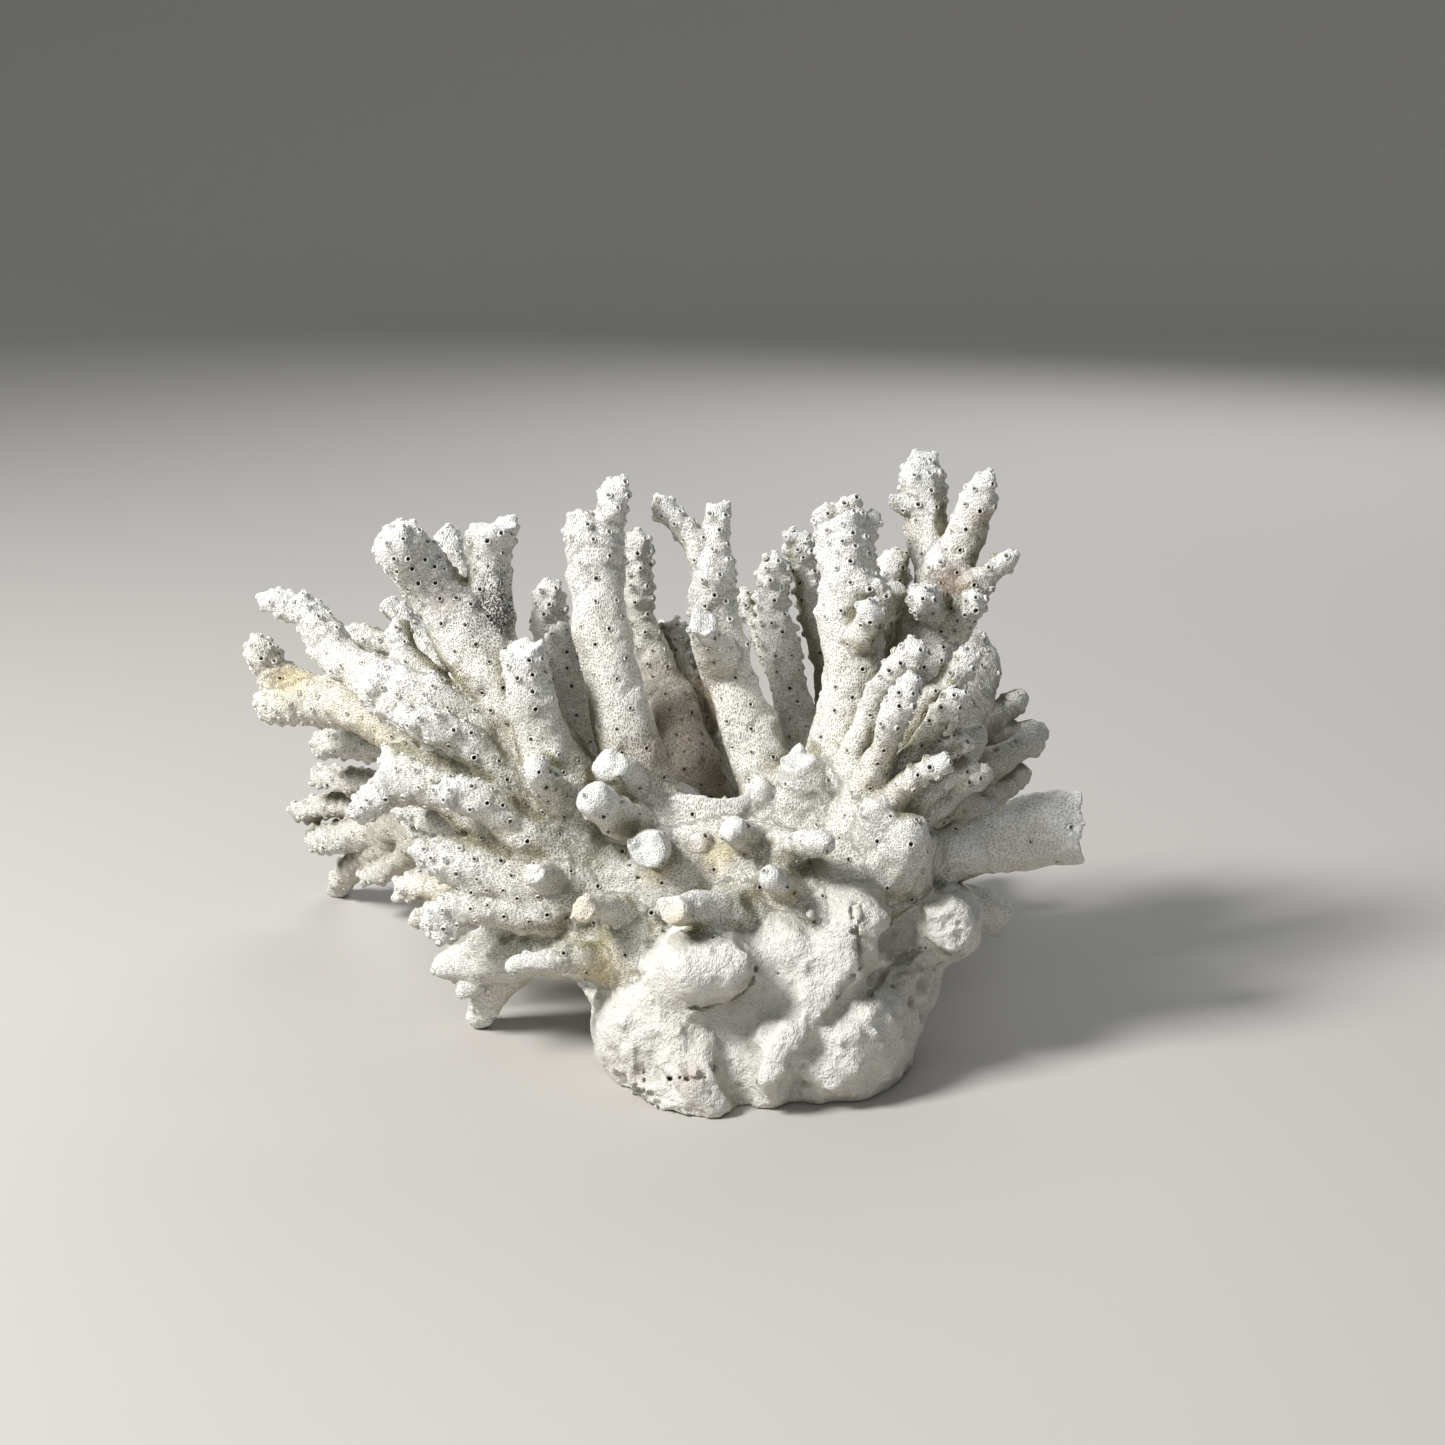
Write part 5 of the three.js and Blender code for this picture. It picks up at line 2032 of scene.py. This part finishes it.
    def build(self) -> None:
        """Makes all the pieces, the holdfast first."""
        self.piece(0, "holdfast", Slot.CHALK)
        for number, limb in enumerate(LIMBS, start=1):
            self.piece(number, limb.name, limb.slot)


@dataclass(frozen=True)
class Lamp:
    """A soft square lamp that looks at the coral's middle.

    Attributes:
        name: Its name.
        place: Its place in metres.
        size: Side of its square in metres.
        watts: Its power.
        tone: Its colour.
    """

    name: str
    place: Triple
    size: float
    watts: float
    tone: Triple

    def build(self) -> None:
        """Makes the lamp."""
        data = bpy.data.lights.new(self.name, "AREA")
        data.size = self.size
        data.energy = self.watts
        data.color = self.tone
        lamp = bpy.data.objects.new(self.name, data)
        lamp.location = self.place
        aim = np.array(CORAL_MIDDLE) - np.array(self.place)
        tilt = math.atan2(math.hypot(aim[0], aim[1]), -aim[2])
        lamp.rotation_euler = (tilt, 0, math.atan2(-aim[0], aim[1]))
        bpy.context.scene.collection.objects.link(lamp)


@dataclass(frozen=True)
class Studio:
    """Plain pale floor that curves up far away, and soft light from the upper left.

    Lengths are metres.
    """

    floor_reach: float = 1.5
    wall_reach: float = 2.6
    wall_height: float = 1.6
    floor_drop: float = 0.00005
    floor_tone: Triple = (0.47, 0.455, 0.43)
    floor_roughness: float = 0.9
    sky_tone: Triple = (0.90, 0.95, 1.0)
    sky_strength: float = 0.21
    lamps: tuple[Lamp, ...] = (
        Lamp("key", (-0.66, -0.36, 0.74), 0.26, 16.0, (1.0, 0.99, 0.975)),
        Lamp("front", (-0.1, -0.95, 0.55), 0.8, 1.0, (0.95, 0.97, 1.0)),
        Lamp("back", (0.35, 0.85, 0.62), 0.7, 4.5, (0.97, 0.98, 1.0)),
    )

    def build(self) -> None:
        """Makes the floor, the lamps and the sky."""
        self.floor()
        for lamp in self.lamps:
            lamp.build()
        world = bpy.data.worlds.new("sky")
        world.use_nodes = True
        background = world.node_tree.nodes["Background"]
        background.inputs["Color"].default_value = (*self.sky_tone, 1.0)
        background.inputs["Strength"].default_value = self.sky_strength
        bpy.context.scene.world = world
        bpy.context.scene.view_settings.view_transform = "Standard"

    def floor(self, around: int = 96, rise: int = 16) -> None:
        """Makes the floor and its curved edge as one round sheet.

        Args:
            around: Corners round the sheet.
            rise: Steps of its curve.
        """
        rings = [(self.floor_reach * share, 0.0) for share in (0.25, 0.5, 0.75, 1.0)]
        for k in range(1, rise + 1):
            angle = math.pi / 2 * k / rise
            reach = self.floor_reach + (self.wall_reach - self.floor_reach) * math.sin(angle)
            rings.append((reach, self.wall_height * (1 - math.cos(angle))))
        points = [(0.0, 0.0, 0.0)]
        for reach, height in rings:
            for j in range(around):
                angle = math.tau * j / around
                points.append((reach * math.cos(angle), reach * math.sin(angle), height))
        faces = [(0, 1 + j, 1 + (j + 1) % around) for j in range(around)]
        for i in range(len(rings) - 1):
            near, far = 1 + i * around, 1 + (i + 1) * around
            for j in range(around):
                k = (j + 1) % around
                faces.append((near + j, far + j, far + k, near + k))
        mesh = bpy.data.meshes.new("floor")
        mesh.from_pydata(points, [], faces)
        mesh.shade_smooth()
        floor = bpy.data.objects.new("floor", mesh)
        floor.location.z = -self.floor_drop
        material = bpy.data.materials.new("pale floor")
        material.use_nodes = True
        surface = material.node_tree.nodes["Principled BSDF"]
        surface.inputs["Base Color"].default_value = (*self.floor_tone, 1.0)
        surface.inputs["Roughness"].default_value = self.floor_roughness
        mesh.materials.append(material)
        bpy.context.scene.collection.objects.link(floor)


def main() -> None:
    """Builds the coral, the camera and the studio."""
    logging.basicConfig(level=logging.INFO, format="%(name)s: %(message)s")
    coral = Coral()
    coral.camera.build()
    coral.build()
    Studio().build()


if __name__ == "__main__":
    main()
